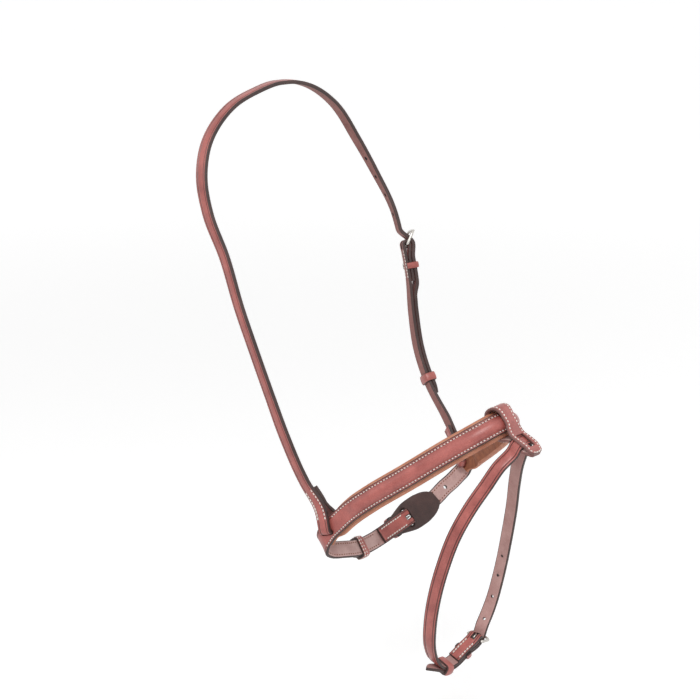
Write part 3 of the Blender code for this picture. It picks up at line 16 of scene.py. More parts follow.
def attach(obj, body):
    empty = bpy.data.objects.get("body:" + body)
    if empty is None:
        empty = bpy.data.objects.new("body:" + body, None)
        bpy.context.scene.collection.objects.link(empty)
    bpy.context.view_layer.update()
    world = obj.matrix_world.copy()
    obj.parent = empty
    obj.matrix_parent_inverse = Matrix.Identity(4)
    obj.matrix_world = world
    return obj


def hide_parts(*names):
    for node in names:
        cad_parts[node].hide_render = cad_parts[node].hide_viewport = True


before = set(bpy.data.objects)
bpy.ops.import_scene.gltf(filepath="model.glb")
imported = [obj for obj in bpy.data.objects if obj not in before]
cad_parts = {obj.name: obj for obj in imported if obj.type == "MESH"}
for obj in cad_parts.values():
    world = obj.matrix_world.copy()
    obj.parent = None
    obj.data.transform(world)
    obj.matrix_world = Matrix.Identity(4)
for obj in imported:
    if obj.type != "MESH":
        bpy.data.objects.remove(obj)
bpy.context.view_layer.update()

# The head that the noseband goes round.
POLL_HALF_WIDTH = 0.115
SLOT_HALF_WIDTH = 0.095
SLOT_DROP = 0.358
SLOT_REACH = 0.152
NOSE_REACH = 0.156
CHIN_REACH = 0.0385
CHIN_DROOP = 0.030
RING_PITCH = math.radians(38.5)
FLASH_HALF_WIDTH = 0.057
FLASH_LENGTH = 0.240
FLASH_LEAN = math.radians(18)
FLASH_SWING_BACK = 0.010

# Leather and metal stock.
GAP = 0.0003
LAYER_GAP = 0.0005
SLACK = 0.0006
STRAP_THICKNESS = 0.003
EDGE_BEVEL = 0.0007
WIRE_RADIUS = 0.0013
TONGUE_RADIUS = 0.0009
FRAME_LENGTH = 0.0145
FRAME_SIDE_CLEARANCE = 0.0009
FRAME_CORNER = 0.0042
CHEEK_FRAME_TILT = math.radians(35)
CHIN_FRAME_TILT = math.radians(34)
FLASH_FRAME_TILT = math.radians(54)
TONGUE_SLOT_LENGTH = 0.0088
TONGUE_SLOT_WIDTH = 0.0032
NOTCH_WIDTH = 0.0046
FOLD_EASE = 0.014
BILLET_RISE = 0.0165
KEEPER_LENGTH = 0.009
SMALL_KEEPER_LENGTH = 0.006
KEEPER_THICKNESS = 0.0018
KEEPER_CORNER = 0.0022

# Noseband: one long strap, with the raise formed in its nose part.
BAND_WIDTH = 0.018
CHIN_WIDTH = 0.016
RAISE_WIDTH = 0.0115
RAISE_HEIGHT = 0.0036
RAISE_FADE = 0.014
RAISE_INSET = 0.028
BACKING_THICKNESS = 0.0012
BAND_TAPER = 0.018
SLOT_LENGTH = 0.0145
SLOT_SPARE = 0.0012
CHIN_TAB_LENGTH = 0.038
CHIN_FIXED_KEEPER_AT = 0.016
CHIN_RUNNER_AT = 0.064
CHIN_BILLET_LENGTH = 0.084
CHIN_HOLE_PITCH = 0.020
CHIN_HOLE_FIRST = 0.053
CHIN_HOLES = 3

# Padded lining, rolled over at both edges.
LINING_WIDTH = 0.0238
LINING_DEPTH = 0.0062
LINING_END_DEPTH = 0.0027
LINING_FADE = 0.016
LINING_UPPER_SPREAD = 0.042
LINING_LOWER_SPREAD = 0.014
LINING_PAST_SLOT = 0.0095
FOAM_INSET = 0.028

# Chin guard.
PAD_LENGTH = 0.068
PAD_WIDTH = 0.0295
PAD_THICKNESS = 0.0024
PAD_BEHIND_BAR = 0.030

# Sliphead and cheek strap.
CHEEK_WIDTH = 0.0125
CHEEK_THICKNESS = 0.0036
CHEEK_STRAP_THICKNESS = 0.003
HANGER_PLY_LENGTH = 0.041
HANGER_CORNER = 0.0024
HANGER_LEAN = 0.25
HANGER_STAND = 0.0018
HANGER_PASS_SHARE = 0.72
HANGER_CLOSE_SHARE = 0.9
CHEEK_BUCKLE_DROP = 0.163
CHEEK_TAB_LENGTH = 0.036
CHEEK_FIXED_KEEPER_AT = 0.021
CHEEK_RUNNER_AT = 0.135
CHEEK_BILLET_LENGTH = 0.152
CHEEK_HOLE_PITCH = 0.0205
CHEEK_HOLES_ABOVE = 4
CHEEK_HOLES_BELOW = 4
CHEEK_HOLE_FIRST_BELOW = 0.034

# Flash loop, hung on the nose of the band, and its strap.
FLASH_WIDTH = 0.0125
FLASH_THICKNESS = 0.0028
LOOP_THICKNESS = 0.0024
LOOP_WIDTH = 0.0184
LOOP_TAB_WIDTH = 0.0214
LOOP_TAB_LENGTH = 0.0285
LOOP_SPARE = 0.0011
LOOP_TAB_TILT = math.radians(27)
LOOP_CORNER = 0.0075
LOOP_BRIDGE = 0.0046
BRIDGE_AT = 0.01134
WINDOW_START = 0.0060
WINDOW_END = 0.0218
WINDOW_TOP_WIDTH = 0.0100
WINDOW_TIP_WIDTH = 0.0068
FLASH_FOLD_RADIUS = 0.0028
FLASH_TAB_LENGTH = 0.030
FLASH_FIXED_KEEPER_AT = 0.017
FLASH_RUNNER_AT = 0.042
FLASH_BILLET_LENGTH = 0.064
FLASH_HOLE_PITCH = 0.0225
FLASH_HOLE_FIRST = 0.0195
FLASH_HOLES = 4
FLASH_SPRING_RADIUS = 0.020

# The loop's tab: its stations as shares of its length, from its end up, and how its two plies
# stand there.
LOOP_TAB_STATIONS = (
    (1.0, "shut"), (0.95, "shut"), (0.86, "closing"), (0.70, "open"), (0.42, "open"), (0.14, "open"),
)
# The tab's width at the same stations, as shares of LOOP_TAB_WIDTH, and the width of the rest of
# the loop, from its shoulder over the front and round the back, as shares of LOOP_WIDTH.
LOOP_TIP_SHARES = (0.50, 0.68, 0.79, 0.84, 0.86, 0.84)
LOOP_BODY_SHARES = (0.84, 0.74, 0.75, 0.78, 0.84, 0.92) + (1.0,) * 8
LOOP_CLOSING_SHARE = 1.15
LOOP_SHOULDER_SHARE = 0.7
LOOP_FLAT_SHARE = 1 / 6
LOOP_CORNER_STOPS = 3

# The bend of the flash strap at its bridge: how far past the bridge and how far through the
# slit, as shares of its fold radius.
BRIDGE_TURN_SHARES = ((0.95, 0.90), (0.62, 0.26), (0.0, 0.0))

# The tongue's stations from its tip to the bar, its tip's thinness, and its eye.
TONGUE_SHARES = (1.0, 0.97, 0.7, 0.4, 0.2)
TONGUE_TIP_SHARE = 0.6
TONGUE_EYE_STEPS = 16
TONGUE_EYE_TURN = 255

# Where a row of holes starts, as shares of its pitch: the chin billet's past its sewn keeper and
# the sliphead's above the rise of its billet.
HELD_HOLE_SHARE = 0.6
FREE_HOLE_SHARE = 0.75

# How finely the curves are cut.
WIRE_SIDES = 16
STEP = 0.003
FINE_STEP = 0.004
BEND_STEP = math.radians(3)
ARC_STEPS = 8
SPAN_STEPS = 16
KEEPER_CORNER_STEPS = 4
RUNNER_CORNER_STEPS = 2
EDGE_STEPS = 3
RAISE_STEPS = 14
TIP_STEPS = 6
HOLE_SIDES = 18
OBLONG_STEPS = 5
STITCH_SIDES = 6
LINING_STEPS = 8
GUARD_STEPS = 30
LOOP_STEPS = 4
# Edges that bend more than this, in degrees, stay sharp: on leather, on cut walls and on thread.
STRAP_ANGLE = 40
CUTTER_ANGLE = 30
THREAD_ANGLE = 60

# A strap's faces: rounded edges, no rounder than a share of the strap's thickness, a pressed
# crease along each edge, and a slight crown between the creases.
EDGE_ROUND = 0.0009
EDGE_SHARE = 1 / 3
UNDER_SHARES = (0.5, 0.0, -0.5)
CREASE_INSET = 0.0025
CREASE_HALF = 0.0005
CREASE_DEPTH = 0.00045
CROWN_SHARE = 0.35

# The band's stitch grooves, and its raise: its foot as a share of the room between the grooves,
# how square it is across, and how fast it falls.
STITCH_ROW = 0.0069
GROOVE_HALF = 0.00065
GROOVE_DEPTH = 0.00035
RAISE_FOOT_SHARE = 0.93
RAISE_CURVE = 2.3
RAISE_FALL = 0.6
# The near hanger lies on the band: how deep it presses, where, and over what it fades.
HANGER_PRESS = 0.00035
PRESSED_FROM = 0.003
PRESSED_PAST = 0.022
PRESS_FADE = 0.005

# A strap's point: how square and how fast it narrows, and its tip as a share of the width.
TIP_CURVE = 2.2
TIP_FALL = 0.75
TIP_END_SHARE = 0.12

# Round holes, punched larger in the noseband and the sliphead than in the flash strap.
PUNCH_RADIUS = 0.0019
SMALL_PUNCH_RADIUS = 0.0014

# One stitch, end to end: place as a share of half its length, girth and how far it is sunk.
STITCH_SHARES = (
    (-1.0, 0.35, 1.3), (-0.72, 0.85, 0.35), (0.0, 1.0, 0.0), (0.72, 0.85, 0.35), (1.0, 0.35, 1.3),
)
STITCH_LENGTH = 0.0023
TAB_STITCH_LENGTH = 0.0029
STITCH_RADIUS = 0.00056
STITCH_PITCH = 0.0031
# How flat the thread lies, as its width for its height, and how far each stitch slants across.
STITCH_FLATNESS = 1.15
STITCH_SLANT = 0.12

# Rows of stitches: how far they lie from the middle of their strap, where they start and end,
# and where they lie along the chin's runner, as shares of its length.
CHIN_ROW = 0.0052
CHEEK_ROW = 0.0042
FLASH_ROW = 0.0040
LOOP_ROW_INSET = 0.0022
CHIN_TAB_ROW_START = 0.006
CHEEK_ROW_START = 0.005
FLASH_TAB_ROW_START = 0.007
HANGER_ROW_START = 0.012
TAB_ROW_END = 0.003
SLOT_ROW_PAST = 0.011
HANGER_COVER = 0.0135
RUNNER_ROW_PLACES = (0.02, 0.34)

# A keeper's outer face along its length: place and height as shares.
KEEPER_SWELL = (
    (-0.5, 0.25), (-0.44, 0.8), (-0.3, 1.0), (0.0, 1.06), (0.3, 1.0), (0.44, 0.8), (0.5, 0.25),
)

# The lining's flat faces, under the leather and on each side of its seam, as shares of them.
LINING_TOP_SHARES = (0.1, 0.35, 0.65, 0.9)
LINING_INNER_SHARE = 0.6
SEAM_HALF = 0.0006
SEAM_DEPTH = 0.0003

# Outline of the chin guard: distance from its narrow end and half width, as shares of its
# length and width.
PAD_SHARES = (
    (0.0, 0.24), (0.05, 0.30), (0.20, 0.36), (0.36, 0.44), (0.52, 0.50), (0.70, 0.50),
    (0.84, 0.44), (0.94, 0.34), (1.0, 0.20),
)
GUARD_FACE_SHARES = (-0.7, -0.35, 0.0, 0.35, 0.7)
GUARD_EDGE_SHARE = 0.4
# The share of its length over which the outline is evened, how far the guard is drawn in towards
# the buckle, and over what share of its length.
GUARD_EASE = 0.03
GUARD_DRAWN_IN = 0.26
GUARD_DRAWN_SHARE = 0.45

# Points across the loop's face, and the room for the flash strap in a slit.
LOOP_FACE_SHARES = (-0.86, -0.6, -0.3, 0.0, 0.3, 0.6, 0.86)
SLIT_SPARE = SLACK * 4

# The camera stands where the photograph was taken from.
CAMERA_AZIMUTH = -46.0
CAMERA_ELEVATION = 16.4
CAMERA_PLACE = (-0.9620, -1.0165, 0.1555)
CAMERA_LENS = 77.14
CAMERA_SENSOR = 36.0
CAMERA_CLIP = 0.01
FLOOR_LEVEL = -0.60
FLOOR_REACH = 60.0
# The floor's own lift to white: near the lamps and away from them, and where it changes.
FLOOR_LIFT_NEAR = 0.33
FLOOR_LIFT_FAR = 0.50
FLOOR_CHANGE = (0.7, 3.2)
WORLD_LIGHT = 0.52
WHITE = (1.0, 1.0, 1.0, 1.0)
# Soft lamps: name, place, width and power.
LAMPS = (
    ("key_softbox", (-1.1, -1.2, 1.3), 1.1, 22.0),
    ("side_softbox", (-1.7, 0.9, 0.8), 1.6, 4.5),
    ("fill_softbox", (1.5, -0.9, 0.6), 1.6, 4.0),
)
LAMP_AIM = (0.0, -0.15, -0.25)

# Places round the noseband, from the chin buckle's bar along the near cheek, over the nose and
# back along the far cheek: side as a share of SLOT_HALF_WIDTH, forward as a share of NOSE_REACH
# (of CHIN_REACH behind the slots), and droop as a share of CHIN_DROOP.
RING_SHARES = (
    (0.211, -0.855, 0.81),
    (0.0, -0.97, 0.915),
    (-0.250, -1.03, 1.03),
    (-0.484, -0.95, 1.05),
    (-0.720, -0.83, 0.93),
    (-0.895, -0.75, 0.79),
    (-0.985, -0.62, 0.63),
    (-1.015, -0.42, 0.49),
    (-1.005, -0.22, 0.38),
    (-0.985, 0.03, 0.29),
    (-0.950, 0.125, 0.20),
    (-0.885, 0.27, 0.15),
    (-0.705, 0.51, 0.13),
    (-0.445, 0.755, 0.07),
    (-0.215, 0.925, 0.04),
    (-0.105, 0.963, 0.02),
    (0.0, 0.968, 0.01),
    (0.105, 0.960, 0.0),
    (0.215, 0.917, 0.0),
    (0.355, 0.835, 0.01),
    (0.485, 0.725, 0.03),
    (0.716, 0.442, 0.03),
    (0.820, 0.302, 0.01),
    (0.895, 0.180, 0.0),
    (0.941, 0.095, 0.0),
    (0.970, 0.050, 0.01),
    (0.992, -0.03, 0.05),
    (0.985, -0.18, 0.15),
    (0.925, -0.31, 0.24),
    (0.842, -0.36, 0.33),
    (0.720, -0.41, 0.43),
    (0.589, -0.55, 0.59),
    (0.442, -0.68, 0.69),
)
NEAR_SLOT_KNOT = 8
NOSE_KNOT = 16
FAR_SLOT_KNOT = 25

# Places up the near cheek, over the poll and down the far cheek: side as a share of
# POLL_HALF_WIDTH, forward as a share of SLOT_REACH, drop as a share of SLOT_DROP, and how far
# the strap's front edge turns in towards the head.
HEAD_SHARES = (
    (-0.887, 0.861, 0.926, 0.0),
    (-0.935, 0.735, 0.817, -0.02),
    (-0.957, 0.630, 0.718, -0.08),
    (-0.977, 0.510, 0.605, -0.10),
    (-0.985, 0.410, 0.515, -0.10),
    (-0.990, 0.290, 0.390, -0.08),
    (-0.985, 0.150, 0.290, -0.04),
    (-0.945, 0.070, 0.205, 0.0),
    (-0.840, 0.025, 0.130, 0.0),
    (-0.580, 0.005, 0.050, 0.0),
    (-0.280, 0.0, 0.014, 0.0),
    (-0.045, 0.0, 0.0, 0.0),
    (0.0, 0.0, 0.0, 0.0),
    (0.045, 0.0, 0.0, 0.0),
    (0.280, 0.0, 0.014, 0.0),
    (0.580, 0.005, 0.070, 0.0),
    (0.830, 0.030, 0.175, -0.05),
    (0.950, 0.105, 0.265, -0.25),
    (1.005, 0.225, 0.360, -0.48),
    (1.013, 0.305, 0.455, -0.60),
    (1.003, 0.372, 0.550, -0.60),
    (0.988, 0.412, 0.645, -0.46),
    (0.968, 0.480, 0.745, -0.36),
    (0.950, 0.592, 0.830, -0.33),
    (0.920, 0.760, 0.905, -0.30),
)
POLL_KNOT = 15

# Places round the flash strap, from its buckle's bar up the near side, over the bridge in the
# loop and down the far side: side as a share of FLASH_HALF_WIDTH, drop as a share of
# FLASH_LENGTH, swing back as a share of FLASH_SWING_BACK, and turn of the front edge.
FLASH_SHARES = (
    (0.351, 0.923, -0.72, 0.0),
    (0.088, 0.956, -0.82, 0.0),
    (-0.158, 0.983, -0.88, 0.03),
    (-0.385, 0.982, -0.80, 0.08),
    (-0.595, 0.941, -0.58, 0.15),
    (-0.775, 0.866, -0.32, 0.22),
    (-0.880, 0.767, -0.05, 0.26),
    (-0.935, 0.652, 0.20, 0.28),
    (-0.905, 0.495, 0.50, 0.28),
    (-0.815, 0.362, 0.62, 0.28),
    (-0.665, 0.258, 0.55, 0.25),
    (-0.490, 0.164, 0.35, 0.18),
    (-0.350, 0.090, 0.20, 0.10),
)
FLASH_SHARES_DOWN = (
    (0.235, 0.120, 0.50, 0.0),
    (0.404, 0.218, 0.80, 0.0),
    (0.632, 0.375, 0.92, 0.0),
    (0.760, 0.523, 0.85, 0.0),
    (0.838, 0.628, 0.80, 0.0),
    (0.850, 0.722, 0.62, 0.0),
    (0.785, 0.806, 0.28, 0.0),
    (0.610, 0.866, -0.22, 0.0),
    (0.490, 0.893, -0.50, 0.0),
)


def direction(x, y, z):
    """A unit vector."""
    return Vector((x, y, z)).normalized()


ACROSS_NOSE = direction(0, -math.sin(RING_PITCH), -math.cos(RING_PITCH))
ALONG_NOSE = direction(0, -math.cos(RING_PITCH), math.sin(RING_PITCH))
SLOT_MIDDLE = Vector((0, -SLOT_REACH, -SLOT_DROP))


def ease(value):
    """A smooth step from 0 to 1."""
    share = min(1.0, max(0.0, value))
    return share * share * (3.0 - 2.0 * share)


class Route:
    """A smooth line with a direction across at every place along it."""

    def __init__(self, knots, acrosses, closed=False):
        """Join the knots by Bezier spans whose handles follow the neighbouring knots."""
        self.closed = closed
        self.points = []
        self.acrosses = []
        self.knot_at = []
        spans = len(knots) if closed else len(knots) - 1
        for index in range(spans):
            self.knot_at.append(len(self.points))
            self._add_span(knots, acrosses, index)
        if not closed:
            self.knot_at.append(len(self.points))
        last = 0 if closed else len(knots) - 1
        self.points.append(knots[last].copy())
        self.acrosses.append(acrosses[last].copy())
        self.lengths = [0.0]
        for before, after in zip(self.points, self.points[1:]):
            self.lengths.append(self.lengths[-1] + (after - before).length)
        self.total = self.lengths[-1]
        self.stations = self._spread()

    def _spread(self):
        """Distances along at which every layer on this route has a cross-section."""
        stations = [0.0]
        turned = 0.0
        for index in range(1, len(self.points) - 1):
            before = self.points[index] - self.points[index - 1]
            after = self.points[index + 1] - self.points[index]
            turned += before.angle(after) + self.acrosses[index - 1].angle(self.acrosses[index])
            far = self.lengths[index] - stations[-1]
            if turned > BEND_STEP and far > FINE_STEP / 2 or far > STEP:
                stations.append(self.lengths[index])
                turned = 0.0
        return stations

    def _slope(self, knots, index):
        """Direction of travel at a knot, by the two chords beside it."""
        count = len(knots)
        if self.closed:
            before = knots[(index - 1) % count]
            after = knots[(index + 1) % count]
        else:
            before = knots[max(0, index - 1)]
            after = knots[min(count - 1, index + 1)]
        here = knots[index % count]
        back = (here - before).length
        front = (after - here).length
        if back == 0:
            return (after - here) / front
        if front == 0:
            return (here - before) / back
        slope = (here - before) / back * front + (after - here) / front * back
        return slope / (back + front)

    def _add_span(self, knots, acrosses, index):
        """Points of one Bezier span, without its last one."""
        count = len(knots)
        start = knots[index]
        end = knots[(index + 1) % count]
        handle = (end - start).length / 3.0
        first = start + self._slope(knots, index) * handle
        second = end - self._slope(knots, (index + 1) % count) * handle
        spots = interpolate_bezier(start, first, second, end, SPAN_STEPS + 1)
        for step in range(SPAN_STEPS):
            share = step / SPAN_STEPS
            across = acrosses[index].lerp(acrosses[(index + 1) % count], share)
            self.points.append(spots[step].copy())
            self.acrosses.append(across)

    def knot(self, index):
        """Distance along the route of a knot."""
        return self.lengths[self.knot_at[index]]

    def _locate(self, along):
        """The span that holds a distance along, and the share of it."""
        low = 0
        high = len(self.lengths) - 2
        while low < high:
            middle = (low + high + 1) // 2
            if self.lengths[middle] <= along:
                low = middle
            else:
                high = middle - 1
        length = self.lengths[low + 1] - self.lengths[low]
        return low, (along - self.lengths[low]) / length

    def point(self, along):
        """The middle of the route at a distance along; past an open end it runs on straight."""
        if self.closed:
            along = along % self.total
        low, share = self._locate(along)
        return self.points[low].lerp(self.points[low + 1], share)

    def frame(self, along):
        """The point, and the unit directions along, across and out."""
        reach = FINE_STEP / 2
        tangent = (self.point(along + reach) - self.point(along - reach)).normalized()
        place = along % self.total if self.closed else min(self.total, max(0.0, along))
        low, share = self._locate(place)
        across = self.acrosses[low].lerp(self.acrosses[low + 1], min(1.0, share))
        across = (across - tangent * across.dot(tangent)).normalized()
        return self.point(along), tangent, across, across.cross(tangent)

    def spot(self, along, across=0.0, out=0.0):
        """A point given by its distances along, across and out."""
        point, _, side, outward = self.frame(along)
        return point + side * across + outward * out


def layer_ring(route, along, out, lean, profile):
    """A cross-section on a route, its face tipped by the slope of the layer's path."""
    point, tangent, side, outward = route.frame(along)
    middle = point + outward * out
    normal = outward * math.cos(lean) - tangent * math.sin(lean)
    return [middle + side * across + normal * rise for across, rise in profile]


def path_leans(path):
    """The slope of a path of (along, out) places, at each of them."""
    leans = []
    for index in range(len(path)):
        before = path[max(0, index - 1)]
        after = path[min(len(path) - 1, index + 1)]
        leans.append(math.atan2(after[1] - before[1], after[0] - before[0]))
    return leans


def stretch(route, start, end, out_at):
    """Places at the route's own stations from start to end, at a level that a function gives."""
    places = [(start, out_at(start))]
    for turn in (0, 1):
        for station in route.stations:
            along = station + route.total * turn
            if start + FINE_STEP / 3 < along < end - FINE_STEP / 3:
                places.append((along, out_at(along)))
    places.append((end, out_at(end)))
    return places


def run(start, end, out_at, step):
    """Places from start to end at a level that a function gives."""
    count = max(1, math.ceil(abs(end - start) / step))
    places = []
    for index in range(count + 1):
        along = start + (end - start) * index / count
        places.append((along, out_at(along)))
    return places


def arc(centre_along, centre_out, radius, start, end, steps=ARC_STEPS):
    """Places on an arc, along and out; angles are in degrees from the direction along."""
    places = []
    for index in range(steps + 1):
        angle = math.radians(start + (end - start) * index / steps)
        places.append((centre_along + radius * math.cos(angle), centre_out + radius * math.sin(angle)))
    return places


def ring_point(side_share, forward_share, droop_share):
    """A place on the noseband, from its shares of the head's sizes."""
    reach = NOSE_REACH if forward_share > 0 else CHIN_REACH
    point = SLOT_MIDDLE + Vector((SLOT_HALF_WIDTH * side_share, 0, 0))
    return point + ALONG_NOSE * reach * forward_share + ACROSS_NOSE * CHIN_DROOP * droop_share


def ring_route():
    """The closed line of the noseband."""
    knots = [ring_point(*shares) for shares in RING_SHARES]
    return Route(knots, [ACROSS_NOSE.copy() for _ in knots], closed=True)


RING = ring_route()
NEAR_SLOT = RING.knot(NEAR_SLOT_KNOT)
NOSE = RING.knot(NOSE_KNOT)
FAR_SLOT = RING.knot(FAR_SLOT_KNOT)


def lining_depth_at(along):
    """Depth of the lining under the leather, thinner towards its ends."""
    start = NEAR_SLOT - LINING_PAST_SLOT + FOAM_INSET
    end = FAR_SLOT + LINING_PAST_SLOT - FOAM_INSET
    fade = min(ease((along - start) / LINING_FADE), ease((end - along) / LINING_FADE))
    return LINING_END_DEPTH + (LINING_DEPTH - LINING_END_DEPTH) * fade


def lining_reach(along, spread):
    """Half the lining's width, no wider than the strap at the slots, spread over a length."""
    fade = min(ease((along - NEAR_SLOT) / spread), ease((FAR_SLOT - along) / spread))
    return (BAND_WIDTH + (LINING_WIDTH - BAND_WIDTH) * fade) / 2


def lining_top():
    """Level of the lining's lips under the leather and its backing."""
    return -STRAP_THICKNESS / 2 - GAP - BACKING_THICKNESS - GAP


HANGER_OUT = STRAP_THICKNESS / 2 + GAP + CHEEK_THICKNESS / 2
HANGER_IN = lining_top() - LINING_END_DEPTH - HANGER_STAND - CHEEK_THICKNESS / 2
HANGER_STEP = HANGER_OUT - HANGER_IN


def head_point(side_share, forward_share, drop_share):
    """A place on the sliphead, from its shares of the head's sizes."""
    return Vector((
        POLL_HALF_WIDTH * side_share,
        -SLOT_REACH * forward_share,
        CHEEK_THICKNESS / 2 - SLOT_DROP * drop_share,
    ))


def slot_anchor(slot, head, sign):
    """The slot's middle on the hanger's own line, with its directions up and across."""
    point, _, side, outward = RING.frame(slot)
    start = point + outward * HANGER_OUT
    up = (head - start).normalized() + side * HANGER_LEAN
    up = (up - outward * up.dot(outward)).normalized()
    return start, up, up.cross(outward) * sign


def head_route():
    """The line from the near slot up over the poll and down to the far slot."""
    near, near_up, near_across = slot_anchor(NEAR_SLOT, head_point(*HEAD_SHARES[0][:3]), 1)
    far, far_up, far_across = slot_anchor(FAR_SLOT, head_point(*HEAD_SHARES[-1][:3]), -1)
    low = BAND_WIDTH
    high = BAND_WIDTH / 2 + HANGER_STEP
    knots = [near - near_up * low, near, near + near_up * high]
    acrosses = [near_across] * len(knots)
    for side_share, forward_share, drop_share, turn in HEAD_SHARES:
        knots.append(head_point(side_share, forward_share, drop_share))
        acrosses.append(direction(turn, -1, 0))
    ends = [far + far_up * high, far, far - far_up * low]
    return Route(knots + ends, acrosses + [far_across] * len(ends))


HEAD = head_route()
# The slots are the knots next to the line's two ends.
HEAD_NEAR_SLOT = HEAD.knot(1)
HEAD_POLL = HEAD.knot(POLL_KNOT)
HEAD_FAR_SLOT = HEAD.knot(len(HEAD.knot_at) - 2)


def drop_along(route, drop, start):
    """Distance along a route, past start, where it has come down to a drop."""
    along = start
    while route.point(along).z > -drop:
        along += GAP
    return along


CHEEK_BAR = drop_along(HEAD, CHEEK_BUCKLE_DROP, HEAD_POLL)


def flash_anchor():
    """The middle of the bridge that the flash strap passes over, with the tab's directions."""
    point, tangent, side, outward = RING.frame(NOSE)
    down = side * math.cos(LOOP_TAB_TILT) + outward * math.sin(LOOP_TAB_TILT)
    face = outward * math.cos(LOOP_TAB_TILT) - side * math.sin(LOOP_TAB_TILT)
    hinge = point + side * (LINING_WIDTH / 2 + SLACK) + outward * (STRAP_THICKNESS / 2)
    return hinge, down, face, tangent


TAB_HINGE, TAB_DOWN, TAB_FACE, TAB_SIDE = flash_anchor()
FLASH_DOWN = direction(0, math.sin(FLASH_LEAN), -math.cos(FLASH_LEAN))
FLASH_BACK = direction(0, math.cos(FLASH_LEAN), math.sin(FLASH_LEAN))


def flash_point(side_share, drop_share, back_share):
    """A place on the flash strap, from its shares of its loop's sizes."""
    top = TAB_HINGE + TAB_DOWN * BRIDGE_AT
    point = top + Vector((FLASH_HALF_WIDTH * side_share, 0, 0)) + FLASH_DOWN * FLASH_LENGTH * drop_share
    return point + FLASH_BACK * FLASH_SWING_BACK * back_share


def flash_across(turn):
    """Direction across the flash strap, its front edge turned to the far side."""
    return (Vector((turn, 0, 0)) - FLASH_BACK).normalized()


def bridge_knots():
    """Places where the flash strap turns through the two slits in the loop's back ply."""
    top = TAB_HINGE + TAB_DOWN * BRIDGE_AT
    leg = LOOP_BRIDGE + FLASH_FOLD_RADIUS
    places = []
    for share, fall in BRIDGE_TURN_SHARES:
        places.append((LOOP_BRIDGE + FLASH_FOLD_RADIUS * share, FLASH_FOLD_RADIUS * fall))
    places.insert(0, (leg, FLASH_FOLD_RADIUS * 2 + LOOP_THICKNESS))
    near = [top - TAB_SIDE * across - TAB_FACE * fall for across, fall in places]
    far = [top + TAB_SIDE * across - TAB_FACE * fall for across, fall in places]
    return near + far[::-1]


def flash_route():
    """The closed line of the flash strap."""
    up = [flash_point(*shares[:3]) for shares in FLASH_SHARES]
    over = bridge_knots()
    down = [flash_point(*shares[:3]) for shares in FLASH_SHARES_DOWN]
    acrosses = [flash_across(shares[3]) for shares in FLASH_SHARES]
    acrosses.extend([TAB_DOWN.copy() for _ in over])
    acrosses.extend([flash_across(shares[3]) for shares in FLASH_SHARES_DOWN])
    return Route(up + over + down, acrosses, closed=True)


FLASH = flash_route()


def fold_radius(thickness):
    """Radius of a strap's middle round a buckle bar."""
    return WIRE_RADIUS + GAP + thickness / 2


def eye_reach():
    """How far the tongue's eye reaches from the middle of the bar, with its clearance."""
    return WIRE_RADIUS + GAP + TONGUE_RADIUS * 2 + GAP


def inside_level(thickness, along):
    """Level of a strap's main ply as it comes down from the bar of an inside fold."""
    over = WIRE_RADIUS - thickness / 2 + fold_radius(thickness)
    return over * (1 - ease(along / FOLD_EASE))


def inside_fold(route, thickness, tab_level, tab_length):
    """Path of a strap that is turned back inside the loop, from its tab round the bar."""
    radius = fold_radius(thickness)
    bar = WIRE_RADIUS - thickness / 2
    path = stretch(route, 0.0, tab_length, lambda _: tab_level)[::-1]
    path.extend(arc(0.0, tab_level + radius, radius, 270, 180)[1:])
    upper = arc(0.0, bar, radius, 180, 90)
    path.extend(upper if bar - tab_level - radius > GAP else upper[1:])
    path.extend(run(0.0, FOLD_EASE, lambda along: inside_level(thickness, along), FINE_STEP / 2)[1:])
    return path


def outside_level(thickness, tab_level, along):
    """Level of a turned-back ply as it comes down from the bar of an outside fold."""
    top = fold_radius(thickness) * 2
    return tab_level + (top - tab_level) * (1 - ease(along / FOLD_EASE))


def outside_fold(route, thickness, tab_level, tab_length, start):
    """Path of a strap that is turned back on its outer face, from its tab round the bar."""
    radius = fold_radius(thickness)

    def level(along):
        return outside_level(thickness, tab_level, along - start)

    path = stretch(route, start + FOLD_EASE, start + tab_length, lambda _: tab_level)[::-1]
    path.extend(run(start + FOLD_EASE, start, level, FINE_STEP / 2)[1:])
    path.extend(arc(start, radius, radius, 90, 270, ARC_STEPS * 2)[1:])
    return path


def billet_level(along, bar_at, over, seats):
    """Level of a billet that rises through a frame, over the bar and down to its seats."""
    if along < bar_at:
        return over * ease((along - bar_at + BILLET_RISE) / BILLET_RISE)
    level = over
    for start, seat in seats:
        level = level + (seat - level) * ease((along - bar_at - start) / FOLD_EASE)
    return level


def frame_axes(route, bar_at, bar_out, tilt):
    """A buckle's bar middle, with its directions along the frame, across it and out of it."""
    _, tangent, side, outward = route.frame(bar_at)
    bar = route.spot(bar_at, 0.0, bar_out)
    reach = outward * math.sin(tilt) - tangent * math.cos(tilt)
    face = outward * math.cos(tilt) + tangent * math.sin(tilt)
    return bar, reach, side, face


def frame_line(width):
    """The middle line of a buckle frame's wire: distances from the bar and across it."""
    half = width / 2 + FRAME_SIDE_CLEARANCE + WIRE_RADIUS
    corner = FRAME_CORNER
    heel = WIRE_RADIUS
    line = []
    for centre_u, centre_v, radius, start in (
        (FRAME_LENGTH - corner, half - corner, corner, 0),
        (heel, half - heel, heel, 90),
        (heel, heel - half, heel, 180),
        (FRAME_LENGTH - corner, corner - half, corner, 270),
    ):
        line.extend(arc(centre_u, centre_v, radius, start, start + 90, ARC_STEPS - 1))
    return line


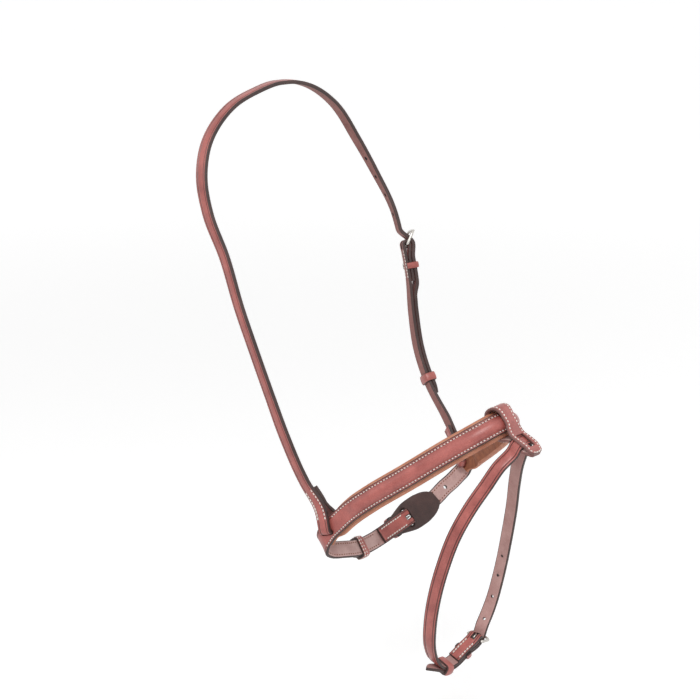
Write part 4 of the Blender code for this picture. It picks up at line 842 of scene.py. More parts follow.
def round_ring(centre, first, second, radius):
    """A cross-section of a round wire."""
    ring = []
    for turn in range(WIRE_SIDES):
        angle = 2 * math.pi * turn / WIRE_SIDES
        ring.append(centre + first * radius * math.cos(angle) + second * radius * math.sin(angle))
    return ring


def tongue_wrap():
    """Distance of the tongue's middle from the middle of the bar."""
    return WIRE_RADIUS + GAP + TONGUE_RADIUS


def tongue_line():
    """The middle line of a tongue: distances along the frame and out of it, tip first."""
    wrap = tongue_wrap()
    length = FRAME_LENGTH + WIRE_RADIUS * 2
    line = [(length * share, wrap) for share in TONGUE_SHARES]
    return line + arc(0.0, 0.0, wrap, 90, 90 + TONGUE_EYE_TURN, TONGUE_EYE_STEPS - 1)


def tongue_crossing(bar_out, tilt, over):
    """How far before the bar the tongue passes through the middle of the billet."""
    before = 0.0
    while before < BILLET_RISE:
        tongue = bar_out + tongue_wrap() / math.cos(tilt) + before * math.tan(tilt)
        if tongue > billet_level(-before, 0.0, over, ()):
            break
        before += GAP
    return before


def keeper_outline(low, high, width, thickness):
    """Rounded rectangle round the layers, grown by a thickness."""
    x = width / 2 + thickness
    top = high + thickness
    bottom = low - thickness
    corner = KEEPER_CORNER + thickness / 2
    outline = []
    for centre_x, centre_y, start in (
        (x - corner, top - corner, 0), (corner - x, top - corner, 90),
        (corner - x, bottom + corner, 180), (x - corner, bottom + corner, 270),
    ):
        outline.extend(arc(centre_x, centre_y, corner, start, start + 90, RUNNER_CORNER_STEPS))
    return outline


def raise_at(along):
    """Height of the raise at a place along the noseband."""
    start = NEAR_SLOT + RAISE_INSET
    end = FAR_SLOT - RAISE_INSET
    return RAISE_HEIGHT * min(ease((along - start) / RAISE_FADE), ease((end - along) / RAISE_FADE))


def band_width_at(along):
    """Width of the noseband strap, wider between the slots."""
    near = ease((along - NEAR_SLOT + BAND_TAPER * 2) / BAND_TAPER)
    far = ease((FAR_SLOT + BAND_TAPER - along) / BAND_TAPER)
    return CHIN_WIDTH + (BAND_WIDTH - CHIN_WIDTH) * min(near, far)


CHIN_TAB_LEVEL = -(STRAP_THICKNESS + GAP + PAD_THICKNESS + GAP)
CHIN_BAR_OUT = WIRE_RADIUS - STRAP_THICKNESS / 2
CHIN_OVER = CHIN_BAR_OUT + fold_radius(STRAP_THICKNESS) + STRAP_THICKNESS + LAYER_GAP
CHIN_SEAT = STRAP_THICKNESS + LAYER_GAP


def hanger_path(slot, start_ply, up):
    """Path of a hanger from its inner ply round through the slot, going up the outer face.

    Up is 1 where the line leaves the slot and -1 where it comes down to it.
    """
    corner = HANGER_CORNER
    inner = -(CHEEK_THICKNESS + GAP)
    band_top = slot + up * BAND_WIDTH * HANGER_PASS_SHARE
    clear = band_top + up * HANGER_STEP * HANGER_CLOSE_SHARE
    path = run(slot + up * start_ply, clear, lambda _: inner, FINE_STEP)
    path.extend(run(clear, band_top, lambda along: inner + (-HANGER_STEP - inner)
                    * ease((clear - along) / (clear - band_top)), FINE_STEP)[1:])
    path.append((slot + up * corner, -HANGER_STEP))
    turn = 90 + up * 90
    path.extend(arc(slot + up * corner, corner - HANGER_STEP, corner, 270, 270 - up * 90)[1:])
    path.extend(arc(slot + up * corner, -corner, corner, turn, turn - up * 90))
    return path


CHEEK_FOLD_TOP = fold_radius(CHEEK_STRAP_THICKNESS) * 2
CHEEK_TAB_LEVEL = CHEEK_STRAP_THICKNESS + GAP
CHEEK_SEAT = CHEEK_STRAP_THICKNESS / 2 + LAYER_GAP + CHEEK_THICKNESS / 2
CHEEK_OVER = CHEEK_FOLD_TOP + CHEEK_SEAT
CHEEK_SEAT_TAB = CHEEK_TAB_LEVEL + CHEEK_SEAT
CHEEK_BAR_OUT = fold_radius(CHEEK_STRAP_THICKNESS)


def sliphead_level(along):
    """Level of the sliphead's billet along the far cheek."""
    seats = ((0.0, CHEEK_SEAT_TAB), (CHEEK_TAB_LENGTH + EDGE_BEVEL, CHEEK_SEAT))
    return billet_level(along, CHEEK_BAR, CHEEK_OVER, seats)


def loop_path():
    """The loop's path round the band: down the front, with both ends in the tab below it."""
    t = LOOP_THICKNESS / 2
    front = STRAP_THICKNESS / 2 + RAISE_HEIGHT + SLACK + t
    back = lining_top() - LINING_DEPTH - LOOP_SPARE - t
    top = -LINING_WIDTH / 2 - LOOP_SPARE - t
    bottom = LINING_WIDTH / 2 + LOOP_SPARE + t
    corner = LOOP_CORNER
    down = (math.cos(LOOP_TAB_TILT), math.sin(LOOP_TAB_TILT))
    face = (-down[1], down[0])
    hinge = (LINING_WIDTH / 2 + SLACK, STRAP_THICKNESS / 2)
    stands = {"open": FLASH_THICKNESS / 2 + GAP + t, "closing": (GAP / 2 + t) * LOOP_CLOSING_SHARE,
              "shut": GAP / 2 + t}
    front_tab = []
    back_tab = []
    for share, state in LOOP_TAB_STATIONS:
        reach = LOOP_TAB_LENGTH * share
        for plies, off in ((front_tab, stands[state]), (back_tab, -stands[state])):
            plies.append((hinge[0] + down[0] * reach + face[0] * off,
                          hinge[1] + down[1] * reach + face[1] * off))
    path = front_tab
    path.append((hinge[0] - corner * LOOP_SHOULDER_SHARE, front - t / 2))
    path.append((LINING_WIDTH * LOOP_FLAT_SHARE, front))
    path.append((-LINING_WIDTH * LOOP_FLAT_SHARE, front))
    for centre, out, start, stops in (
        (top + corner, front - corner, 90, LOOP_CORNER_STOPS + 1),
        (top + corner, back + corner, 180, LOOP_CORNER_STOPS + 1),
        (bottom - corner, back + corner, 270, LOOP_CORNER_STOPS),
    ):
        path.extend(arc(centre, out, corner, start, start + 90, LOOP_CORNER_STOPS)[:stops])
    return path + back_tab[::-1]


def loop_spot(across, down, out, follow):
    """A place on the loop: straight across the nose, or following the bend of the band."""
    point, tangent, side, outward = RING.frame(NOSE)
    straight = point + tangent * across + side * down + outward * out
    return straight.lerp(RING.spot(NOSE + across, down, out), follow)


def tab_box(start, end, across, widths, low, high):
    """A box in the tab's own directions, with a width at its start and one at its end."""
    bottom = []
    top = []
    for reach, width in ((start, -widths[0]), (end, -widths[1]), (end, widths[1]), (start, widths[0])):
        spot = TAB_HINGE + TAB_DOWN * reach + TAB_SIDE * (across + width / 2)
        bottom.append(spot + TAB_FACE * low)
        top.append(spot + TAB_FACE * high)
    return bottom, top


FLASH_TAB_LEVEL = -(FLASH_THICKNESS + GAP)
FLASH_BAR_OUT = WIRE_RADIUS - FLASH_THICKNESS / 2
FLASH_OVER = FLASH_BAR_OUT + fold_radius(FLASH_THICKNESS) + FLASH_THICKNESS + LAYER_GAP
FLASH_SEAT = FLASH_THICKNESS + LAYER_GAP


def flash_level(along):
    """Level of the flash strap's billet, whose end springs away from the loop past its runner."""
    free = max(0.0, along - FLASH.total - FLASH_RUNNER_AT - KEEPER_LENGTH / 2)
    seated = billet_level(along, FLASH.total, FLASH_OVER, ((0.0, FLASH_SEAT),))
    return seated + free * free / FLASH_SPRING_RADIUS / 2


def linear(code):
    """A linear colour from an sRGB hex value."""
    parts = []
    for start in (1, 3, 5):
        value = int(code[start:start + 2], 16) / 255
        parts.append(value / 12.92 if value <= 0.04045 else ((value + 0.055) / 1.055) ** 2.4)
    return (*parts, 1.0)


def per_metre(millimetres):
    """A pattern's scale, from the real size of one of its marks."""
    return 1000.0 / millimetres


def add(tree, kind, settings=None, links=None):
    """Add a shader node with its settings and its input links."""
    node = tree.nodes.new(kind)
    for key, value in (settings or {}).items():
        if key == "stops":
            for index, (place, code) in enumerate(value):
                while len(node.color_ramp.elements) <= index:
                    node.color_ramp.elements.new(place)
                node.color_ramp.elements[index].position = place
                node.color_ramp.elements[index].color = linear(code)
        elif isinstance(key, str) and hasattr(node, key):
            setattr(node, key, value)
        else:
            node.inputs[key].default_value = value
    for key, source in (links or {}).items():
        tree.links.new(source, node.inputs[key])
    return node


def new_material(name, settings):
    """A material with its Principled shader set, and its tree and shader."""
    made = bpy.data.materials.new(name)
    made.use_nodes = True
    tree = made.node_tree
    shader = tree.nodes["Principled BSDF"]
    for key, value in settings.items():
        shader.inputs[key].default_value = value
    return made, tree, shader


# Marks in the finishes, in millimetres. The specks, the rubbing marks and the thread's twist are
# finer on the real ones and are drawn this coarse so that they show.
DYE_PATCH_MM = 18.1818
DYE_SPECK_MM = 1.11111
LINING_PATCH_MM = 11.1111
LINING_CREASE_MM = 2.38095
LINING_CREASE_LENGTH_MM = 22.2222
LINING_CREASE_DEPTH_MM = 0.4
RUB_MARK_MM = 0.833333
THREAD_TWIST_MM = 0.4
THREAD_TWIST_DEPTH_MM = 0.1

# How much of the finer pattern is mixed in, and the fibres in the width of one pebble.
SPECK_SHARE = 0.45
CREASE_SHARE = 0.5
FIBRE_SHARE = 0.6
FIBRES_PER_PEBBLE = 0.7

LEATHER_IOR = 1.5
WAX_ROUGHNESS = 0.30


def hide_leather(name, dark, pale, grain_mm, depth_mm, rough_low, rough_high, coat):
    """Tanned leather: mottled dye, a pebbled or fibrous surface, and uneven wax."""
    made, tree, shader = new_material(name, {"Coat Weight": coat, "Coat Roughness": WAX_ROUGHNESS,
                                             "IOR": LEATHER_IOR})
    place = add(tree, "ShaderNodeTexCoord").outputs["Object"]
    mottle = add(tree, "ShaderNodeTexNoise",
                 {"Scale": per_metre(DYE_PATCH_MM), "Detail": 4.0, "Roughness": 0.6}, {"Vector": place})
    speck = add(tree, "ShaderNodeTexNoise", {"Scale": per_metre(DYE_SPECK_MM), "Detail": 3.0},
                {"Vector": place})
    blend = add(tree, "ShaderNodeMath", {"operation": "MULTIPLY_ADD", 1: SPECK_SHARE},
                {0: speck.outputs["Fac"], 2: mottle.outputs["Fac"]})
    dye = add(tree, "ShaderNodeValToRGB", {"stops": ((0.50, dark), (0.95, pale))},
              {"Fac": blend.outputs[0]})
    tree.links.new(dye.outputs["Color"], shader.inputs["Base Color"])
    pebbles = per_metre(grain_mm)
    pebble = add(tree, "ShaderNodeTexVoronoi", {"feature": "SMOOTH_F1", "Scale": pebbles},
                 {"Vector": place})
    fibre = add(tree, "ShaderNodeTexNoise", {"Scale": pebbles * FIBRES_PER_PEBBLE, "Detail": 4.0},
                {"Vector": place})
    height = add(tree, "ShaderNodeMath", {"operation": "MULTIPLY_ADD", 1: FIBRE_SHARE},
                 {0: fibre.outputs["Fac"], 2: pebble.outputs["Distance"]})
    bump = add(tree, "ShaderNodeBump", {"Strength": 0.5, "Distance": depth_mm / 1000.0},
               {"Height": height.outputs[0]})
    tree.links.new(bump.outputs["Normal"], shader.inputs["Normal"])
    wax = add(tree, "ShaderNodeMapRange", {"To Min": rough_low, "To Max": rough_high},
              {"Value": mottle.outputs["Fac"]})
    tree.links.new(wax.outputs[0], shader.inputs["Roughness"])
    return made


def creased_shaded_lining(name, dark, pale):
    """Soft lining leather pressed against the nose: long fine creases run across the band, and its colour is
    painted darker as shade, darkest in the creases.
    """
    made, tree, shader = new_material(name, {"Roughness": 0.68, "IOR": LEATHER_IOR})
    place = add(tree, "ShaderNodeTexCoord").outputs["Object"]
    fine = per_metre(LINING_CREASE_MM)
    turned = add(tree, "ShaderNodeMapping",
                 {"Rotation": (RING_PITCH, 0.0, 0.0),
                  "Scale": (fine, fine, per_metre(LINING_CREASE_LENGTH_MM))}, {"Vector": place})
    creases = add(tree, "ShaderNodeTexNoise", {"Scale": 1.0, "Detail": 3.0},
                  {"Vector": turned.outputs["Vector"]})
    mottle = add(tree, "ShaderNodeTexNoise", {"Scale": per_metre(LINING_PATCH_MM), "Detail": 4.0},
                 {"Vector": place})
    blend = add(tree, "ShaderNodeMath", {"operation": "MULTIPLY_ADD", 1: CREASE_SHARE},
                {0: creases.outputs["Fac"], 2: mottle.outputs["Fac"]})
    dye = add(tree, "ShaderNodeValToRGB", {"stops": ((0.55, dark), (0.95, pale))},
              {"Fac": blend.outputs[0]})
    tree.links.new(dye.outputs["Color"], shader.inputs["Base Color"])
    bump = add(tree, "ShaderNodeBump", {"Strength": 0.6, "Distance": LINING_CREASE_DEPTH_MM / 1000.0},
               {"Height": creases.outputs["Fac"]})
    tree.links.new(bump.outputs["Normal"], shader.inputs["Normal"])
    return made


def polished_steel():
    """Cast and tumbled stainless steel: bright, with fine rubbing marks."""
    made, tree, shader = new_material("tumbled_stainless_steel",
                                      {"Metallic": 1.0, "Base Color": linear("#C2BEB8")})
    place = add(tree, "ShaderNodeTexCoord").outputs["Object"]
    marks = add(tree, "ShaderNodeTexNoise", {"Scale": per_metre(RUB_MARK_MM), "Detail": 3.0},
                {"Vector": place})
    rub = add(tree, "ShaderNodeMapRange", {"To Min": 0.12, "To Max": 0.30}, {"Value": marks.outputs["Fac"]})
    tree.links.new(rub.outputs[0], shader.inputs["Roughness"])
    return made


def waxed_thread(name, dark, pale):
    """Twisted linen thread, waxed: a soft sheen and a rope-like surface."""
    made, tree, shader = new_material(name, {"Roughness": 0.6, "Sheen Weight": 0.2})
    place = add(tree, "ShaderNodeTexCoord").outputs["Object"]
    twist = add(tree, "ShaderNodeTexNoise", {"Scale": per_metre(THREAD_TWIST_MM), "Detail": 2.0},
                {"Vector": place})
    dye = add(tree, "ShaderNodeValToRGB", {"stops": ((0.3, dark), (0.6, pale))},
              {"Fac": twist.outputs["Fac"]})
    tree.links.new(dye.outputs["Color"], shader.inputs["Base Color"])
    bump = add(tree, "ShaderNodeBump", {"Strength": 0.4, "Distance": THREAD_TWIST_DEPTH_MM / 1000.0},
               {"Height": twist.outputs["Fac"]})
    tree.links.new(bump.outputs["Normal"], shader.inputs["Normal"])
    return made


# Grain side: drum-dyed red-brown through, then waxed, so the grain's tops catch light.
BRIDLE_GRAIN = hide_leather("vegetable_tanned_grain", "#90433D", "#BB665E", 0.9, 0.12, 0.36, 0.52, 0.40)
# Flesh side: the undyed fibres, sueded and dusty pink, with no shine.
BRIDLE_FLESH = hide_leather("vegetable_tanned_flesh", "#C09B96", "#DCBCB6", 0.7, 0.14, 0.85, 0.95, 0.0)
# Flesh side of the flash strap: the same flesh leather, painted darker as shade.
SHADED_FLASH_FLESH = hide_leather("flash_flesh_painted_shade", "#AD827D", "#C9A29C", 0.6, 0.12, 0.80, 0.92, 0.0)
# Flesh side of the sliphead and cheek strap: the same flesh leather, painted darker and redder as shade, and
# slicked a little smoother.
SHADED_SLICKED_FLESH = hide_leather("slicked_flesh_painted_shade", "#7E4F4A", "#A06F69", 0.8, 0.10, 0.60, 0.75, 0.0)
# Cut edges: rubbed round, then painted dark, which leaves a dull gleam.
PAINTED_EDGE = hide_leather("edge_paint_on_leather", "#2C1A18", "#483330", 1.2, 0.08, 0.45, 0.62, 0.05)
# The loop's edges: rubbed with wax only, so the red-brown core shows.
RUBBED_EDGE = hide_leather("wax_rubbed_edge", "#623B37", "#8C605B", 1.0, 0.08, 0.45, 0.60, 0.1)
# Creases and stitch grooves: burnished with a hot iron, so smoother and somewhat darker, and painted darker
# still as shade in the hollow.
BURNISHED_SHADED_LINE = hide_leather("hot_creased_leather_and_painted_shade", "#5C2C28", "#77413B", 1.0, 0.05, 0.34, 0.45, 0.2)
# Lining: chrome-tanned sheepskin nappa, drum-milled soft, with a fine matt grain.
LINING_LEATHER = hide_leather("chrome_tanned_lining", "#B06D52", "#D29378", 0.8, 0.14, 0.55, 0.7, 0.0)
# The same lining where it lies on the nose: creased across by the bend, and painted darker as shade.
SHADED_INNER_LINING = creased_shaded_lining("creased_inner_lining_painted_shade", "#7C422B", "#A0603F")
# Guard: oiled dark leather, pebbled, with a greasy sheen.
GUARD_LEATHER = hide_leather("oiled_guard_leather", "#321F1D", "#4E3531", 1.1, 0.28, 0.42, 0.60, 0.1)
STEEL = polished_steel()
PALE_THREAD = waxed_thread("waxed_linen_thread", "#DED6CC", "#F4EEE7")
BROWN_THREAD = waxed_thread("brown_bobbin_thread", "#7A4A3B", "#9A6550")

# The finishes of a strap's faces, by their place in its skins.
GRAIN, FLESH, EDGE, LINE = 0, 1, 2, 3
STRAP_SKINS = (BRIDLE_GRAIN, BRIDLE_FLESH, PAINTED_EDGE, BURNISHED_SHADED_LINE)
# The sliphead's, cheek strap's and flash strap's skins take flesh copies that are painted darker as shade.
HEAD_SKINS = (BRIDLE_GRAIN, SHADED_SLICKED_FLESH, PAINTED_EDGE, BURNISHED_SHADED_LINE)
FLASH_SKINS = (BRIDLE_GRAIN, SHADED_FLASH_FLESH, PAINTED_EDGE, BURNISHED_SHADED_LINE)
LOOP_SKINS = (BRIDLE_GRAIN, BRIDLE_FLESH, RUBBED_EDGE, BURNISHED_SHADED_LINE)


def finish_mesh(name, points, faces, marks, skins, smooth_angle=STRAP_ANGLE):
    """A closed mesh object with a finish for each face and its faces turned outward."""
    mesh = bpy.data.meshes.new(name)
    mesh.from_pydata([tuple(point) for point in points], [], faces)
    for skin in skins:
        mesh.materials.append(skin)
    mesh.polygons.foreach_set("material_index", marks)
    work = bmesh.new()
    work.from_mesh(mesh)
    bmesh.ops.recalc_face_normals(work, faces=work.faces)
    work.to_mesh(mesh)
    work.free()
    mesh.shade_smooth()
    mesh.set_sharp_from_angle(angle=math.radians(smooth_angle))
    obj = bpy.data.objects.new(name, mesh)
    bpy.context.scene.collection.objects.link(obj)
    return obj


def skin_faces(base, rows, count, closed=False):
    """Faces between rows of points, and a lid at each end of rows that aren't closed."""
    faces = []
    for row in range(rows if closed else rows - 1):
        here = base + row * count
        there = base + (row + 1) % rows * count
        for column in range(count):
            follow = (column + 1) % count
            faces.append((here + column, here + follow, there + follow, there + column))
    if not closed:
        faces.append(tuple(range(base, base + count)))
        faces.append(tuple(range(base + (rows - 1) * count, base + rows * count)))
    return faces


def sweep(name, rings, marks, skins, closed=False, cap=EDGE):
    """Skin a row of rings; marks give the finish of each column of faces."""
    points = [point for ring in rings for point in ring]
    faces = skin_faces(0, len(rings), len(rings[0]), closed)
    face_marks = marks * (len(rings) if closed else len(rings) - 1) + ([] if closed else [cap, cap])
    return finish_mesh(name, points, faces, face_marks, skins)


def drill(obj, prisms):
    """Cut prisms out of a piece and leave painted walls; the cutter is removed."""
    points = []
    faces = []
    for bottom, top in prisms:
        faces.extend(skin_faces(len(points), 2, len(bottom)))
        points.extend(bottom + top)
    tool = finish_mesh(obj.name + "_tool", points, faces, [EDGE] * len(faces), list(obj.data.materials),
                       CUTTER_ANGLE)
    modifier = obj.modifiers.new("cut", "BOOLEAN")
    modifier.operation = "DIFFERENCE"
    modifier.solver = "EXACT"
    modifier.object = tool
    bpy.context.view_layer.update()
    shaped = bpy.data.meshes.new_from_object(obj.evaluated_get(bpy.context.evaluated_depsgraph_get()))
    obj.modifiers.clear()
    obj.data = shaped
    bpy.data.objects.remove(tool, do_unlink=True)


def place_piece(obj, body, nodes=()):
    """Ride a piece on its body and hide the solids that it stands for."""
    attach(obj, body)
    if nodes:
        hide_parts(*nodes)


def rounded_side(half, rise, radius, sign):
    """Corner points of one side of a strap, from its upper face to its lower one."""
    corner = arc(half - radius, rise - radius, radius, 90, 0, EDGE_STEPS)
    corner.extend(arc(half - radius, radius - rise, radius, 0, -90, EDGE_STEPS))
    return [(sign * across, up) for across, up in corner]


def section(upper, half, rise, radius, lined=True):
    """A strap's cross-section from the points of its upper face, with the finish of each face.

    A lined face begins and ends with the two narrow faces of a pressed line.
    """
    right = rounded_side(half, rise, radius, 1)
    left = rounded_side(half, rise, radius, -1)[::-1]
    under = [(half * share, -rise) for share in UNDER_SHARES]
    points = upper + right + under + left
    face = [GRAIN] * len(upper)
    if lined:
        # These crease or groove faces take the darker line finish: partly burnished, partly painted shade.
        for column in (0, 1, len(upper) - 3, len(upper) - 2):
            face[column] = LINE
    marks = face + [EDGE] * (len(right) - 1) + [FLESH] * (len(under) + 1) + [EDGE] * (len(left) - 1)
    return points, marks + [GRAIN] * (len(points) - len(marks))


def strap_section(width, thickness):
    """Cross-section of a plain strap, with a crease pressed along each edge of its grain face."""
    half = width / 2
    rise = thickness / 2
    line = half - CREASE_INSET
    crown = CREASE_DEPTH * CROWN_SHARE
    face = []
    for across, up in (
        (-line - CREASE_HALF, 0.0), (-line, -CREASE_DEPTH), (CREASE_HALF - line, 0.0),
        (-line / 2, crown), (0.0, crown), (line / 2, crown),
        (line - CREASE_HALF, 0.0), (line, -CREASE_DEPTH), (line + CREASE_HALF, 0.0),
    ):
        face.append((across, rise + up))
    return section(face, half, rise, min(EDGE_ROUND, thickness * EDGE_SHARE))


def hanger_press(along):
    """How deep the near hanger presses the band at a place along it."""
    after = ease((along - NEAR_SLOT + PRESSED_FROM) / PRESS_FADE)
    before = ease((NEAR_SLOT + PRESSED_PAST - along) / PRESS_FADE)
    return HANGER_PRESS * min(after, before)


def band_section(along):
    """Cross-section of the noseband strap: stitched margins and the round raise."""
    half = band_width_at(along) / 2
    rise = STRAP_THICKNESS / 2 - hanger_press(along)
    lift = raise_at(along)
    foot = RAISE_WIDTH / 2
    row = STITCH_ROW * half * 2 / BAND_WIDTH
    reach = min(1.0, row / foot * RAISE_FOOT_SHARE)
    margin = [(-row - GROOVE_HALF, rise), (-row, rise - GROOVE_DEPTH), (GROOVE_HALF - row, rise)]
    bulge = []
    for step in range(RAISE_STEPS + 1):
        share = -math.cos(math.pi * step / RAISE_STEPS)
        bulge.append((foot * share * reach, rise + lift * (1 - abs(share) ** RAISE_CURVE) ** RAISE_FALL))
    upper = margin + bulge + [(-across, up) for across, up in reversed(margin)]
    return section(upper, half, rise, EDGE_ROUND)


def strap_rings(route, path, section_at):
    """Cross-sections of a strap along a path of (along, out) places, and its faces' finishes."""
    rings = []
    marks = None
    for (along, out), lean in zip(path, path_leans(path)):
        profile, marks = section_at(along)
        rings.append(layer_ring(route, along, out, lean, profile))
    return rings, marks


def ended_strap(name, route, path, section_at, level, width, skins=STRAP_SKINS):
    """A strap swept along its path and closed by a pointed end, drawn in across the strap."""
    rings, marks = strap_rings(route, path, section_at)
    end, _ = path[-1]
    profile, _ = section_at(end)
    shares = [step / TIP_STEPS for step in range(TIP_STEPS + 1)]
    tip = [(end + width * share, level(end + width * share)) for share in shares]
    for (along, out), lean, share in list(zip(tip, path_leans(tip), shares))[1:]:
        narrow = max(TIP_END_SHARE, (1.0 - share ** TIP_CURVE) ** TIP_FALL)
        drawn_in = [(across * narrow, up) for across, up in profile]
        rings.append(layer_ring(route, along, out, lean, drawn_in))
    return sweep(name, rings, marks, skins)


def prism(route, along, out, depth, outline):
    """A prism through a strap; the outline is in distances along and across."""
    point, tangent, side, outward = route.frame(along)
    bottom = []
    top = []
    for reach, across in outline:
        spot = point + tangent * reach + side * across + outward * out
        bottom.append(spot - outward * depth)
        top.append(spot + outward * depth)
    return bottom, top


def hole(route, along, out, radius=PUNCH_RADIUS):
    """A round punched hole through a strap."""
    return prism(route, along, out, STRAP_THICKNESS, arc(0.0, 0.0, radius, 0, 360, HOLE_SIDES)[:-1])


def billet_hole(route, along, out, thickness):
    """A hole in a billet that lies on another ply, which it leaves whole."""
    bottom, top = hole(route, along, out)
    _, _, _, outward = route.frame(along)
    low = outward * (STRAP_THICKNESS - thickness / 2 - GAP / 2)
    return [spot + low for spot in bottom], top


def oblong(length, width):
    """Outline of an oblong hole with round ends."""
    radius = min(length, width) / 2
    reach = length / 2 - radius
    rise = width / 2 - radius
    outline = []
    for centre_x, centre_y, start in (
        (reach, rise, 0), (-reach, rise, 90), (-reach, -rise, 180), (reach, -rise, 270),
    ):
        outline.extend(arc(centre_x, centre_y, radius, start, start + 90, OBLONG_STEPS)[:-1])
    return outline


def tongue_hole(route, bar_at, bar_out, tilt, over, thickness):
    """The hole that the tongue passes through."""
    middle = bar_at - tongue_crossing(bar_out, tilt, over)
    outline = oblong(TONGUE_SLOT_LENGTH, TONGUE_SLOT_WIDTH)
    return prism(route, middle, over / 2, (over + thickness) / 2, outline)


def notch(route, bar_at, outline):
    """The notch in a fold that lets the tongue turn on the bar."""
    point, tangent, side, outward = route.frame(bar_at)
    one_side = []
    other_side = []
    for along, out in outline:
        spot = point + tangent * along + outward * out
        one_side.append(spot - side * NOTCH_WIDTH / 2)
        other_side.append(spot + side * NOTCH_WIDTH / 2)
    return one_side, other_side


def inside_notch(route, thickness, tab_level):
    """Notch through both plies of an inside fold."""
    back = -fold_radius(thickness) - thickness
    front = eye_reach()
    low = tab_level - thickness
    high = thickness / 2 + GAP / 2
    outline = [(back, low), (front, low)]
    for along in (front, front / 2, 0.0):
        outline.append((along, inside_level(thickness, along) + high))
    outline.append((back, inside_level(thickness, 0.0) + high))
    return notch(route, 0.0, outline)


def outside_notch(route, bar_at, thickness, tab_level):
    """Notch through both plies of an outside fold."""
    back = -fold_radius(thickness) - thickness
    front = eye_reach()
    high = thickness / 2 + GAP
    outline = [(back, -thickness), (front, -thickness)]
    for along, level_at in ((front, front), (0.0, 0.0), (back, 0.0)):
        outline.append((along, outside_level(thickness, tab_level, level_at) + high))
    return notch(route, bar_at, outline)


def stitch_points(centre, travel, normal, length):
    """Points of one stitch, ring by ring, sunk at both ends."""
    side = normal.cross(travel).normalized()
    points = []
    for place, swell, sink in STITCH_SHARES:
        middle = centre + travel * length / 2 * place - normal * STITCH_RADIUS * sink
        for turn in range(STITCH_SIDES):
            angle = 2 * math.pi * turn / STITCH_SIDES
            offset = side * math.cos(angle) * STITCH_FLATNESS + normal * math.sin(angle)
            points.append(middle + offset * STITCH_RADIUS * swell)
    return points


def stitching(name, rows, skin, body, length=STITCH_LENGTH):
    """All the stitches of one body as one piece; rows hold (centre, travel, normal)."""
    points = []
    faces = []
    for row in rows:
        for centre, travel, normal in row:
            faces.extend(skin_faces(len(points), len(STITCH_SHARES), STITCH_SIDES))
            points.extend(stitch_points(centre, travel, normal, length))
    obj = finish_mesh(name, points, faces, [0] * len(faces), (skin,), THREAD_ANGLE)
    place_piece(obj, body)


def stitch_row(route, start, end, across, level, face):
    """Centres of a row of stitches on one face of a strap: face is 1 outside and -1 inside."""
    count = max(1, round(abs(end - start) / STITCH_PITCH))
    reach = STITCH_PITCH / 4
    row = []
    for index in range(count):
        along = start + (end - start) * (index + 0.5) / count
        _, _, side, _ = route.frame(along)
        before = route.spot(along - reach, across, level(along - reach))
        after = route.spot(along + reach, across, level(along + reach))
        travel = (after - before).normalized()
        normal = side.cross(travel).normalized() * face
        row.append(((before + after) / 2, (travel + side * STITCH_SLANT).normalized(), normal))
    return row


def paired_rows(route, start, end, across, level, face):
    """A row of stitches along each edge of a strap, at one level."""
    return [stitch_row(route, start, end, across * sign, lambda _: level, face) for sign in (-1, 1)]


def even_stitches(line):
    """Stitches at an even pitch along a line of (spot, spot above it)."""
    row = []
    due = STITCH_PITCH / 2
    gone = 0.0
    for (here, above), (there, _) in zip(line, line[1:]):
        span = (there - here).length
        while span > 0 and due <= gone + span:
            share = (due - gone) / span
            row.append((here.lerp(there, share), (there - here).normalized(), (above - here).normalized()))
            due += STITCH_PITCH
        gone += span
    return row


def chin_level(along):
    """Level of the noseband's billet."""
    return billet_level(along, RING.total, CHIN_OVER, ((0.0, CHIN_SEAT),))


def buckled_path(route, fold, level, billet_length):
    """Path of a strap that closes a ring: from its folded end round to its billet's point."""
    turn = route.total
    path = fold + stretch(route, FOLD_EASE, turn - BILLET_RISE, lambda _: 0.0)[1:]
    path.extend(run(turn - BILLET_RISE, turn + FOLD_EASE, level, FINE_STEP / 2)[1:])
    path.extend(stretch(route, turn + FOLD_EASE, turn + billet_length, level)[1:])
    return path


def noseband():
    """The noseband's long strap with its raise, slots and holes."""
    turn = RING.total
    fold = inside_fold(RING, STRAP_THICKNESS, CHIN_TAB_LEVEL, CHIN_TAB_LENGTH)
    path = buckled_path(RING, fold, chin_level, CHIN_BILLET_LENGTH - CHIN_WIDTH)
    obj = ended_strap("raised_band", RING, path, band_section, chin_level, CHIN_WIDTH)
    slot = oblong(CHEEK_THICKNESS + SLOT_SPARE, SLOT_LENGTH)
    parts = []
    for place in (HEAD_NEAR_SLOT, HEAD_FAR_SLOT):
        parts.append(prism(HEAD, place, -HANGER_OUT, STRAP_THICKNESS, slot))
    for index in range(CHIN_HOLES):
        along = turn - CHIN_HOLE_FIRST + CHIN_HOLE_PITCH * index
        if along < turn - BILLET_RISE:
            parts.append(hole(RING, along, 0.0))
    parts.append(tongue_hole(RING, turn, CHIN_BAR_OUT, CHIN_FRAME_TILT, CHIN_OVER, STRAP_THICKNESS))
    for index in range(CHIN_HOLES - 1):
        along = turn + CHIN_FIXED_KEEPER_AT + CHIN_HOLE_PITCH * (index + HELD_HOLE_SHARE)
        parts.append(billet_hole(RING, along, CHIN_SEAT, STRAP_THICKNESS))
    drill(obj, parts)
    drill(obj, [inside_notch(RING, STRAP_THICKNESS, CHIN_TAB_LEVEL)])
    place_piece(obj, "noseband", ("noseband_strap",))


